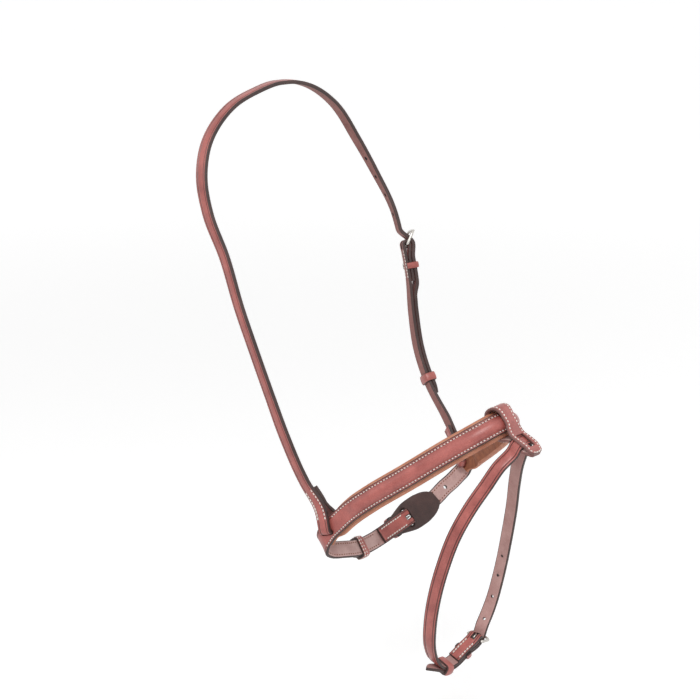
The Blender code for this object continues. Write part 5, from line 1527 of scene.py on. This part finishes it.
def lining_section(along):
    """The rolled lining: full and round at both edges, with a seam along its inner face."""
    top = lining_top()
    depth = lining_depth_at(along)
    high = -lining_reach(along, LINING_UPPER_SPREAD)
    low = lining_reach(along, LINING_LOWER_SPREAD)
    roll = depth / 2
    flat = low - high - roll * 2
    inner = flat / 2 * LINING_INNER_SHARE
    points = [(high + roll + flat * share, top) for share in LINING_TOP_SHARES]
    points.extend(arc(low - roll, top - roll, roll, 90, -90, LINING_STEPS))
    for across, rise in (
        (inner, 0.0), (SEAM_HALF, 0.0), (0.0, SEAM_DEPTH), (-SEAM_HALF, 0.0), (-inner, 0.0),
    ):
        points.append(((high + low) / 2 + across, top - depth + rise))
    points.extend(arc(high + roll, top - roll, roll, -90, -270, LINING_STEPS))
    return points


def lining():
    """The padded lining leather, creased between its two rolled edges and painted darker there as shade, and
    the slots through it.
    """
    start = NEAR_SLOT - LINING_PAST_SLOT
    end = FAR_SLOT + LINING_PAST_SLOT
    rings = []
    for along, _ in stretch(RING, start, end, lambda _: 0.0):
        rings.append([RING.spot(along, across, out) for across, out in lining_section(along)])
    # The inner face between the rolled edges takes the darker lining, which is painted shade.
    creased = range(len(LINING_TOP_SHARES) + LINING_STEPS, len(rings[0]) - LINING_STEPS - 1)
    marks = [int(column in creased) for column in range(len(rings[0]))]
    obj = sweep("padded_lining", rings, marks, (LINING_LEATHER, SHADED_INNER_LINING, PAINTED_EDGE), cap=0)
    slot = oblong(CHEEK_THICKNESS + SLOT_SPARE, SLOT_LENGTH)
    level = lining_top() - LINING_END_DEPTH / 2 - HANGER_OUT
    drill(obj, [prism(HEAD, place, level, LINING_END_DEPTH, slot)
                for place in (HEAD_NEAR_SLOT, HEAD_FAR_SLOT)])
    place_piece(obj, "noseband", ("lining_skin", "lining_foam", "filler_cord"))


def guard_share(place):
    """Half width of the chin guard at a place, straight between the rows of its outline."""
    for (start, low), (end, high) in zip(PAD_SHARES, PAD_SHARES[1:]):
        if place <= end:
            return low + (high - low) * (place - start) / (end - start)
    return PAD_SHARES[-1][1]


def guard():
    """The chin guard: soft dark leather with rounded edges, slit for the fold."""
    level = -(STRAP_THICKNESS + PAD_THICKNESS) / 2 - GAP
    rise = PAD_THICKNESS / 2
    rings = []
    marks = None
    for step in range(GUARD_STEPS + 1):
        share = step / GUARD_STEPS
        swell = sum(guard_share(share + near) for near in (-GUARD_EASE, 0.0, GUARD_EASE)) / 3
        drawn_in = 1.0 - GUARD_DRAWN_IN * max(0.0, 1.0 - share / GUARD_DRAWN_SHARE)
        half = PAD_WIDTH * swell * drawn_in
        upper = [(half * place, rise) for place in GUARD_FACE_SHARES]
        profile, marks = section(upper, half, rise, PAD_THICKNESS * GUARD_EDGE_SHARE, lined=False)
        rings.append(layer_ring(RING, PAD_BEHIND_BAR - PAD_LENGTH * share, level, 0.0, profile))
    # One leather all over: the slit's walls take the third place.
    obj = sweep("chin_guard_leather", rings, [0] * len(marks), (GUARD_LEATHER,) * 3, cap=0)
    back = fold_radius(STRAP_THICKNESS) + STRAP_THICKNESS / 2 + SLACK
    front = eye_reach() + SLACK
    outline = oblong(back + front, CHIN_WIDTH + SLACK * 2)
    drill(obj, [prism(RING, (front - back) / 2, level, PAD_THICKNESS, outline)])
    place_piece(obj, "noseband", ("chin_guard",))


def wire_frame(name, route, bar_at, bar_out, tilt, width, body):
    """A buckle frame of round wire."""
    bar, reach, side, face = frame_axes(route, bar_at, bar_out, tilt)
    line = frame_line(width)
    rings = []
    for index, (u, v) in enumerate(line):
        after = line[(index + 1) % len(line)]
        before = line[index - 1]
        spoke = Vector((after[1] - before[1], before[0] - after[0])).normalized()
        across = reach * spoke.x + side * spoke.y
        rings.append(round_ring(bar + reach * u + side * v, across, face, WIRE_RADIUS))
    obj = sweep(name.replace("frame", "wire"), rings, [0] * WIRE_SIDES, (STEEL,), closed=True)
    place_piece(obj, body, (name,))


def wire_tongue(name, route, bar_at, bar_out, tilt, body):
    """A buckle tongue, rounded at its tip."""
    bar, reach, side, face = frame_axes(route, bar_at, bar_out, tilt)
    line = tongue_line()
    rings = []
    for index, (u, v) in enumerate(line):
        after = line[min(len(line) - 1, index + 1)]
        before = line[max(0, index - 1)]
        spoke = Vector((before[1] - after[1], after[0] - before[0])).normalized()
        radius = TONGUE_RADIUS * (TONGUE_TIP_SHARE if index == 0 else 1.0)
        rings.append(round_ring(bar + reach * u + face * v, reach * spoke.x + face * spoke.y, side, radius))
    obj = sweep(name.replace("tongue", "pin"), rings, [0] * WIRE_SIDES, (STEEL,), cap=0)
    place_piece(obj, body, (name,))


def swollen(outer, inner, share):
    """A keeper's outer line at a share of its height over the inner one."""
    return [(i[0] + (o[0] - i[0]) * share, i[1] + (o[1] - i[1]) * share) for o, i in zip(outer, inner)]


def runner(name, route, middle, low, high, width, body):
    """A closed running keeper: rows out along its outer face, then back along its inner one."""
    outer = keeper_outline(low, high, width, KEEPER_THICKNESS)
    inner = keeper_outline(low, high, width, 0.0)
    lines = [(place, swollen(outer, inner, share)) for place, share in KEEPER_SWELL]
    lines.extend((place, inner) for place, _ in reversed(KEEPER_SWELL))
    points = []
    for place, line in lines:
        points.extend(route.spot(middle + KEEPER_LENGTH * place, *spot) for spot in line)
    grain = len(KEEPER_SWELL) - 3
    kinds = [EDGE] + [GRAIN] * grain + [EDGE] * 2 + [FLESH] * (len(KEEPER_SWELL) - 1) + [EDGE]
    marks = [kind for kind in kinds for _ in outer]
    faces = skin_faces(0, len(lines), len(outer), closed=True)
    obj = finish_mesh(name.replace("keeper", "loop"), points, faces, marks, STRAP_SKINS)
    place_piece(obj, body, (name,))


def sewn_keeper(name, route, middle, low, high, width, body):
    """A fixed keeper over a billet, its ends sewn to the strap's edges."""
    x = width / 2
    lines = []
    for grown in (KEEPER_THICKNESS, 0.0):
        line = [(x + grown, low)]
        for centre, start in ((x - KEEPER_CORNER, 0), (KEEPER_CORNER - x, 90)):
            line.extend(arc(centre, high - KEEPER_CORNER, KEEPER_CORNER + grown, start, start + 90,
                            KEEPER_CORNER_STEPS))
        lines.append(line + [(-x - grown, low)])
    outer, inner = lines
    rings = []
    for place, share in KEEPER_SWELL:
        ring = swollen(outer, inner, share) + inner[::-1]
        rings.append([route.spot(middle + SMALL_KEEPER_LENGTH * place, *spot) for spot in ring])
    marks = [GRAIN] * (len(outer) - 1) + [EDGE] + [FLESH] * (len(inner) - 1) + [EDGE]
    obj = sweep(name.replace("keeper", "loop"), rings, marks, STRAP_SKINS)
    place_piece(obj, body, (name,))


def sliphead():
    """The long sliphead with its hanger, its holes and its pointed billet."""
    path = hanger_path(HEAD_NEAR_SLOT, HANGER_PLY_LENGTH, 1)
    end = CHEEK_BAR + CHEEK_BILLET_LENGTH - CHEEK_WIDTH
    rise = CHEEK_BAR - BILLET_RISE
    tab_end = CHEEK_BAR + CHEEK_TAB_LENGTH
    path.extend(stretch(HEAD, path[-1][0], rise, lambda _: 0.0)[1:])
    path.extend(run(rise, CHEEK_BAR + FOLD_EASE, sliphead_level, FINE_STEP / 2)[1:])
    path.extend(stretch(HEAD, CHEEK_BAR + FOLD_EASE, tab_end, sliphead_level)[1:])
    path.extend(run(tab_end, tab_end + FOLD_EASE, sliphead_level, FINE_STEP)[1:])
    path.extend(stretch(HEAD, tab_end + FOLD_EASE, end, sliphead_level)[1:])
    obj = ended_strap("sliphead_leather", HEAD, path, lambda _: strap_section(CHEEK_WIDTH, CHEEK_THICKNESS),
                      sliphead_level, CHEEK_WIDTH, HEAD_SKINS)
    parts = [tongue_hole(HEAD, CHEEK_BAR, CHEEK_BAR_OUT, CHEEK_FRAME_TILT, CHEEK_OVER, CHEEK_THICKNESS)]
    for index in range(CHEEK_HOLES_ABOVE):
        along = rise - CHEEK_HOLE_PITCH * (index + FREE_HOLE_SHARE)
        parts.append(hole(HEAD, along, sliphead_level(along)))
    for index in range(CHEEK_HOLES_BELOW):
        along = CHEEK_BAR + CHEEK_HOLE_FIRST_BELOW + CHEEK_HOLE_PITCH * (index + 1)
        parts.append(billet_hole(HEAD, along, sliphead_level(along), CHEEK_THICKNESS))
    drill(obj, parts)
    place_piece(obj, "sliphead", ("sliphead_strap",))


def cheekpiece():
    """The short cheek strap, turned over the buckle's bar and through the far slot."""
    path = outside_fold(HEAD, CHEEK_STRAP_THICKNESS, CHEEK_TAB_LEVEL, CHEEK_TAB_LENGTH, CHEEK_BAR)
    path.extend(stretch(HEAD, CHEEK_BAR, HEAD_FAR_SLOT - HANGER_CORNER, lambda _: 0.0)[1:])
    path.extend(reversed(hanger_path(HEAD_FAR_SLOT, HANGER_PLY_LENGTH, -1)[:-1]))
    rings, marks = strap_rings(HEAD, path, lambda _: strap_section(CHEEK_WIDTH, CHEEK_STRAP_THICKNESS))
    obj = sweep("cheek_leather", rings, marks, HEAD_SKINS)
    drill(obj, [outside_notch(HEAD, CHEEK_BAR, CHEEK_STRAP_THICKNESS, CHEEK_TAB_LEVEL)])
    place_piece(obj, "sliphead", ("cheek_strap",))


def smooth_path(path, widths, follows):
    """A finer path through the same places, by Bezier spans, with its widths and its follows."""
    knots = [Vector((*place, 0.0)) for place in path]
    fine = []
    for index in range(len(knots) - 1):
        reach = (knots[index + 1] - knots[index]).length / 3
        handles = []
        for here, sense in ((index, 1), (index + 1, -1)):
            slope = knots[min(len(knots) - 1, here + 1)] - knots[max(0, here - 1)]
            handles.append(knots[here] + slope.normalized() * reach * sense)
        curve = interpolate_bezier(knots[index], *handles, knots[index + 1], LOOP_STEPS + 1)
        for step in range(LOOP_STEPS):
            share = step / LOOP_STEPS
            width = widths[index] + (widths[index + 1] - widths[index]) * ease(share)
            follow = follows[index] + (follows[index + 1] - follows[index]) * share
            fine.append(((curve[step].x, curve[step].y), width, follow))
    fine.append((path[-1], widths[-1], follows[-1]))
    return fine


def loop_rows():
    """The loop's path, widths, follows and directions of travel, in fine steps."""
    tab = [LOOP_TAB_WIDTH * share for share in LOOP_TIP_SHARES]
    body = [LOOP_WIDTH * share for share in LOOP_BODY_SHARES]
    follows = [0.0] * len(tab) + [1.0] * len(body) + [0.0] * len(tab)
    fine = smooth_path(loop_path(), tab + body + tab[::-1], follows)
    rows = []
    for index, (spot, width, follow) in enumerate(fine):
        before = fine[max(0, index - 1)][0]
        after = fine[min(len(fine) - 1, index + 1)][0]
        travel = Vector((after[0] - before[0], after[1] - before[1])).normalized()
        rows.append((spot, width, follow, travel))
    return rows


def loop_face_spot(row, across, up):
    """A place on the loop, up from the middle of its leather."""
    (down, out), _, follow, travel = row
    return loop_spot(across, down + travel.y * up, out - travel.x * up, follow)


def flash_loop():
    """The two-ply loop that hangs the flash strap, with its window and slits."""
    rise = LOOP_THICKNESS / 2
    rings = []
    marks = None
    for row in loop_rows():
        half = row[1] / 2
        upper = [(half * share, rise) for share in LOOP_FACE_SHARES]
        profile, marks = section(upper, half, rise, LOOP_THICKNESS * EDGE_SHARE, lined=False)
        rings.append([loop_face_spot(row, across, up) for across, up in profile])
    obj = sweep("flash_loop_leather", rings, marks, LOOP_SKINS)
    front = FLASH_THICKNESS / 2 + GAP / 2
    deep = front + LOOP_THICKNESS + GAP * 2
    slit = FLASH_THICKNESS + SLIT_SPARE
    across = LOOP_BRIDGE + FLASH_FOLD_RADIUS
    start = BRIDGE_AT - FLASH_WIDTH / 2 - SLACK
    end = BRIDGE_AT + FLASH_WIDTH / 2 + SLACK
    drill(obj, [
        tab_box(WINDOW_START, WINDOW_END, 0.0, (WINDOW_TOP_WIDTH, WINDOW_TIP_WIDTH), front - GAP,
                deep + LOOP_THICKNESS),
        tab_box(start, end, -across, (slit, slit), -deep, -front + GAP),
        tab_box(start, end, across, (slit, slit), -deep, -front + GAP),
    ])
    place_piece(obj, "loop", ("flash_loop",))


def loop_stitches():
    """The row of stitches that follows the loop's edge, up one side of it and down the other."""
    sides = []
    for sign in (-1, 1):
        side = []
        for row in loop_rows()[:-1]:
            across = sign * max(0.0, row[1] / 2 - LOOP_ROW_INSET)
            side.append([loop_face_spot(row, across, up) for up in (LOOP_THICKNESS / 2, LOOP_THICKNESS)])
        sides.append(side)
    return even_stitches(sides[0][::-1] + sides[1])


def flash():
    """The flash strap, from its turned-back end over the bridge to its free billet."""
    turn = FLASH.total
    fold = inside_fold(FLASH, FLASH_THICKNESS, FLASH_TAB_LEVEL, FLASH_TAB_LENGTH)
    path = buckled_path(FLASH, fold, flash_level, FLASH_BILLET_LENGTH - FLASH_WIDTH)
    obj = ended_strap("flash_leather", FLASH, path, lambda _: strap_section(FLASH_WIDTH, FLASH_THICKNESS),
                      flash_level, FLASH_WIDTH, FLASH_SKINS)
    parts = [tongue_hole(FLASH, turn, FLASH_BAR_OUT, FLASH_FRAME_TILT, FLASH_OVER, FLASH_THICKNESS)]
    for index in range(FLASH_HOLES):
        along = turn - FLASH_HOLE_FIRST - FLASH_HOLE_PITCH * index
        parts.append(hole(FLASH, along, 0.0, SMALL_PUNCH_RADIUS))
    drill(obj, parts)
    drill(obj, [inside_notch(FLASH, FLASH_THICKNESS, FLASH_TAB_LEVEL)])
    place_piece(obj, "flash", ("flash_strap",))


def buckles():
    """Frames, tongues and keepers of the three buckles."""
    for kind, route, at, out, tilt, width in (
        ("cheek", HEAD, CHEEK_BAR, CHEEK_BAR_OUT, CHEEK_FRAME_TILT, CHEEK_WIDTH),
        ("chin", RING, 0.0, CHIN_BAR_OUT, CHIN_FRAME_TILT, CHIN_WIDTH),
        ("flash", FLASH, 0.0, FLASH_BAR_OUT, FLASH_FRAME_TILT, FLASH_WIDTH),
    ):
        wire_frame(kind + "_buckle_frame", route, at, out, tilt, width, kind + "_buckle")
        wire_tongue(kind + "_buckle_tongue", route, at, out, tilt, kind + "_tongue")
    # Each row: the levels under the straps, over the sewn keeper's plies and over the runner's.
    for kind, body, route, sewn_at, runner_at, low, sewn_high, high, width in (
        ("cheek", "sliphead", HEAD, CHEEK_BAR + CHEEK_FIXED_KEEPER_AT, CHEEK_BAR + CHEEK_RUNNER_AT,
         -CHEEK_STRAP_THICKNESS / 2, CHEEK_SEAT_TAB + CHEEK_THICKNESS / 2, CHEEK_SEAT + CHEEK_THICKNESS / 2,
         CHEEK_WIDTH),
        ("chin", "noseband", RING, CHIN_FIXED_KEEPER_AT, CHIN_RUNNER_AT,
         -STRAP_THICKNESS / 2, CHIN_SEAT + STRAP_THICKNESS / 2, CHIN_SEAT + STRAP_THICKNESS / 2, CHIN_WIDTH),
        ("flash", "flash", FLASH, FLASH_FIXED_KEEPER_AT, FLASH_RUNNER_AT,
         -FLASH_THICKNESS / 2, FLASH_SEAT + FLASH_THICKNESS / 2, FLASH_SEAT + FLASH_THICKNESS / 2,
         FLASH_WIDTH),
    ):
        sewn_keeper(kind + "_fixed_keeper", route, sewn_at, low, sewn_high + SLACK, width + SLACK, body)
        runner(kind + "_runner_keeper", route, runner_at, low - SLACK, high + SLACK, width + SLACK * 2,
               kind + "_runner")


def runner_rows():
    """The two rows of stitches that go round the chin strap's running keeper."""
    low = -STRAP_THICKNESS / 2 - SLACK
    high = CHIN_SEAT + STRAP_THICKNESS / 2 + SLACK
    outer = keeper_outline(low, high, CHIN_WIDTH + SLACK * 2, KEEPER_THICKNESS)
    inner = keeper_outline(low, high, CHIN_WIDTH + SLACK * 2, 0.0)
    rows = []
    for place in RUNNER_ROW_PLACES:
        along = CHIN_RUNNER_AT + KEEPER_LENGTH * place
        line = []
        for o, i in zip(outer + outer[:1], inner + inner[:1]):
            line.append((RING.spot(along, *o), RING.spot(along, o[0] * 2 - i[0], o[1] * 2 - i[1])))
        rows.append(even_stitches(line))
    return rows


def all_stitching():
    """Every row of stitches, one piece for each body and thread."""
    sunk = STRAP_THICKNESS / 2 - GROOVE_DEPTH
    front = []
    for sign, past in ((-1, -HANGER_COVER), (1, SLOT_ROW_PAST)):
        front.append(stitch_row(RING, NEAR_SLOT - past, FAR_SLOT + past, STITCH_ROW * sign,
                                lambda along: sunk - hanger_press(along), 1))
    stitching("band_stitches", front, PALE_THREAD, "noseband")
    tab = paired_rows(RING, CHIN_TAB_ROW_START, CHIN_TAB_LENGTH - TAB_ROW_END, CHIN_ROW,
                      CHIN_TAB_LEVEL - STRAP_THICKNESS / 2, -1)
    flesh = []
    for start, end in ((CHIN_TAB_LENGTH + TAB_ROW_END, NEAR_SLOT - LINING_PAST_SLOT),
                       (FAR_SLOT + LINING_PAST_SLOT + TAB_ROW_END, RING.total - BILLET_RISE)):
        flesh.extend(paired_rows(RING, start, end, CHIN_ROW, -STRAP_THICKNESS / 2, -1))
    stitching("chin_tab_stitches", tab, PALE_THREAD, "noseband", TAB_STITCH_LENGTH)
    stitching("chin_inside_stitches", flesh, BROWN_THREAD, "noseband")
    cheek = []
    for start, end, level, face in (
        (HEAD_NEAR_SLOT + HANGER_ROW_START, HEAD_NEAR_SLOT + HANGER_PLY_LENGTH, CHEEK_THICKNESS / 2, 1),
        (HEAD_FAR_SLOT - HANGER_PLY_LENGTH, HEAD_FAR_SLOT - HANGER_ROW_START, CHEEK_STRAP_THICKNESS / 2, 1),
        (CHEEK_BAR + CHEEK_ROW_START, CHEEK_BAR + CHEEK_TAB_LENGTH - TAB_ROW_END,
         -CHEEK_STRAP_THICKNESS / 2, -1),
    ):
        cheek.extend(paired_rows(HEAD, start, end, CHEEK_ROW, level, face))
    stitching("cheek_stitches", cheek, PALE_THREAD, "sliphead", TAB_STITCH_LENGTH)
    tab = paired_rows(FLASH, FLASH_TAB_ROW_START, FLASH_TAB_LENGTH - TAB_ROW_END, FLASH_ROW,
                      FLASH_TAB_LEVEL - FLASH_THICKNESS / 2, -1)
    stitching("flash_tab_stitches", tab, PALE_THREAD, "flash", TAB_STITCH_LENGTH)
    stitching("loop_stitches", [loop_stitches()], PALE_THREAD, "loop")
    stitching("chin_runner_stitches", runner_rows(), PALE_THREAD, "chin_runner")


def seen_by(tree, *rays):
    """1 for the kinds of ray that are named, which see the studio itself, and 0 for the others."""
    light_path = add(tree, "ShaderNodeLightPath")
    seen = light_path.outputs[rays[0]]
    for ray in rays[1:]:
        seen = add(tree, "ShaderNodeMath", {"operation": "MAXIMUM"},
                   {0: seen, 1: light_path.outputs[ray]}).outputs[0]
    return seen


def studio_floor():
    """A pale floor under the hanging noseband, lifted to white where the camera sees it."""
    mesh = bpy.data.meshes.new("studio_floor")
    sides = ((-1, -1), (1, -1), (1, 1), (-1, 1))
    corners = [(FLOOR_REACH * x, FLOOR_REACH * y, FLOOR_LEVEL) for x, y in sides]
    mesh.from_pydata(corners, [], [range(len(corners))])
    floor = bpy.data.objects.new("studio_floor", mesh)
    bpy.context.scene.collection.objects.link(floor)
    made, tree, shader = new_material("pale_floor", {"Roughness": 0.9, "Base Color": linear("#F2F2F2"),
                                                     "Emission Color": WHITE})
    seen = seen_by(tree, "Is Camera Ray", "Is Glossy Ray")
    place = add(tree, "ShaderNodeTexCoord").outputs["Object"]
    far = add(tree, "ShaderNodeVectorMath", {"operation": "DISTANCE", 1: (0.0, 0.0, FLOOR_LEVEL)}, {0: place})
    even = add(tree, "ShaderNodeMapRange",
               {"interpolation_type": "SMOOTHSTEP", "From Min": FLOOR_CHANGE[0], "From Max": FLOOR_CHANGE[1],
                "To Min": FLOOR_LIFT_NEAR, "To Max": FLOOR_LIFT_FAR}, {"Value": far.outputs["Value"]})
    lift = add(tree, "ShaderNodeMath", {"operation": "MULTIPLY"}, {0: seen, 1: even.outputs[0]})
    tree.links.new(lift.outputs[0], shader.inputs["Emission Strength"])
    mesh.materials.append(made)


def studio_light():
    """Soft light from all round, which the camera sees as white, and the soft lamps."""
    world = bpy.data.worlds.new("studio")
    bpy.context.scene.world = world
    world.use_nodes = True
    tree = world.node_tree
    tree.nodes.clear()
    seen = seen_by(tree, "Is Camera Ray", "Is Glossy Ray", "Is Transmission Ray")
    soft = add(tree, "ShaderNodeBackground", {"Color": WHITE, "Strength": WORLD_LIGHT})
    white = add(tree, "ShaderNodeBackground", {"Color": WHITE, "Strength": 1.0})
    mix = add(tree, "ShaderNodeMixShader", {}, {0: seen, 1: soft.outputs[0], 2: white.outputs[0]})
    add(tree, "ShaderNodeOutputWorld", {}, {"Surface": mix.outputs[0]})
    for name, place, size, power in LAMPS:
        lamp = bpy.data.lights.new(name, "AREA")
        lamp.shape = "DISK"
        lamp.size = size
        lamp.energy = power
        obj = bpy.data.objects.new(name, lamp)
        obj.location = place
        obj.rotation_euler = (Vector(LAMP_AIM) - Vector(place)).to_track_quat("-Z", "Y").to_euler()
        bpy.context.scene.collection.objects.link(obj)


def photograph_camera():
    """The camera, turned level from its place by its azimuth and elevation."""
    camera = bpy.data.cameras.new("camera")
    camera.sensor_width = CAMERA_SENSOR
    camera.lens = CAMERA_LENS
    camera.clip_start = CAMERA_CLIP
    obj = bpy.data.objects.new("camera", camera)
    obj.location = CAMERA_PLACE
    turn, tilt = math.radians(CAMERA_AZIMUTH), math.radians(CAMERA_ELEVATION)
    back = Vector((math.cos(tilt) * math.sin(turn), -math.cos(tilt) * math.cos(turn), math.sin(tilt)))
    right = Vector((math.cos(turn), math.sin(turn), 0.0))
    obj.rotation_euler = Matrix((right, back.cross(right), back)).transposed().to_euler()
    bpy.context.scene.collection.objects.link(obj)
    bpy.context.scene.camera = obj
    bpy.context.scene.view_settings.view_transform = "Standard"


def main():
    """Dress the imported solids."""
    studio_floor()
    studio_light()
    photograph_camera()
    sliphead()
    cheekpiece()
    noseband()
    lining()
    guard()
    flash_loop()
    flash()
    buckles()
    all_stitching()
    backing = bpy.data.objects["backing_strip"]
    backing.data.materials.clear()
    backing.data.materials.append(PAINTED_EDGE)


main()
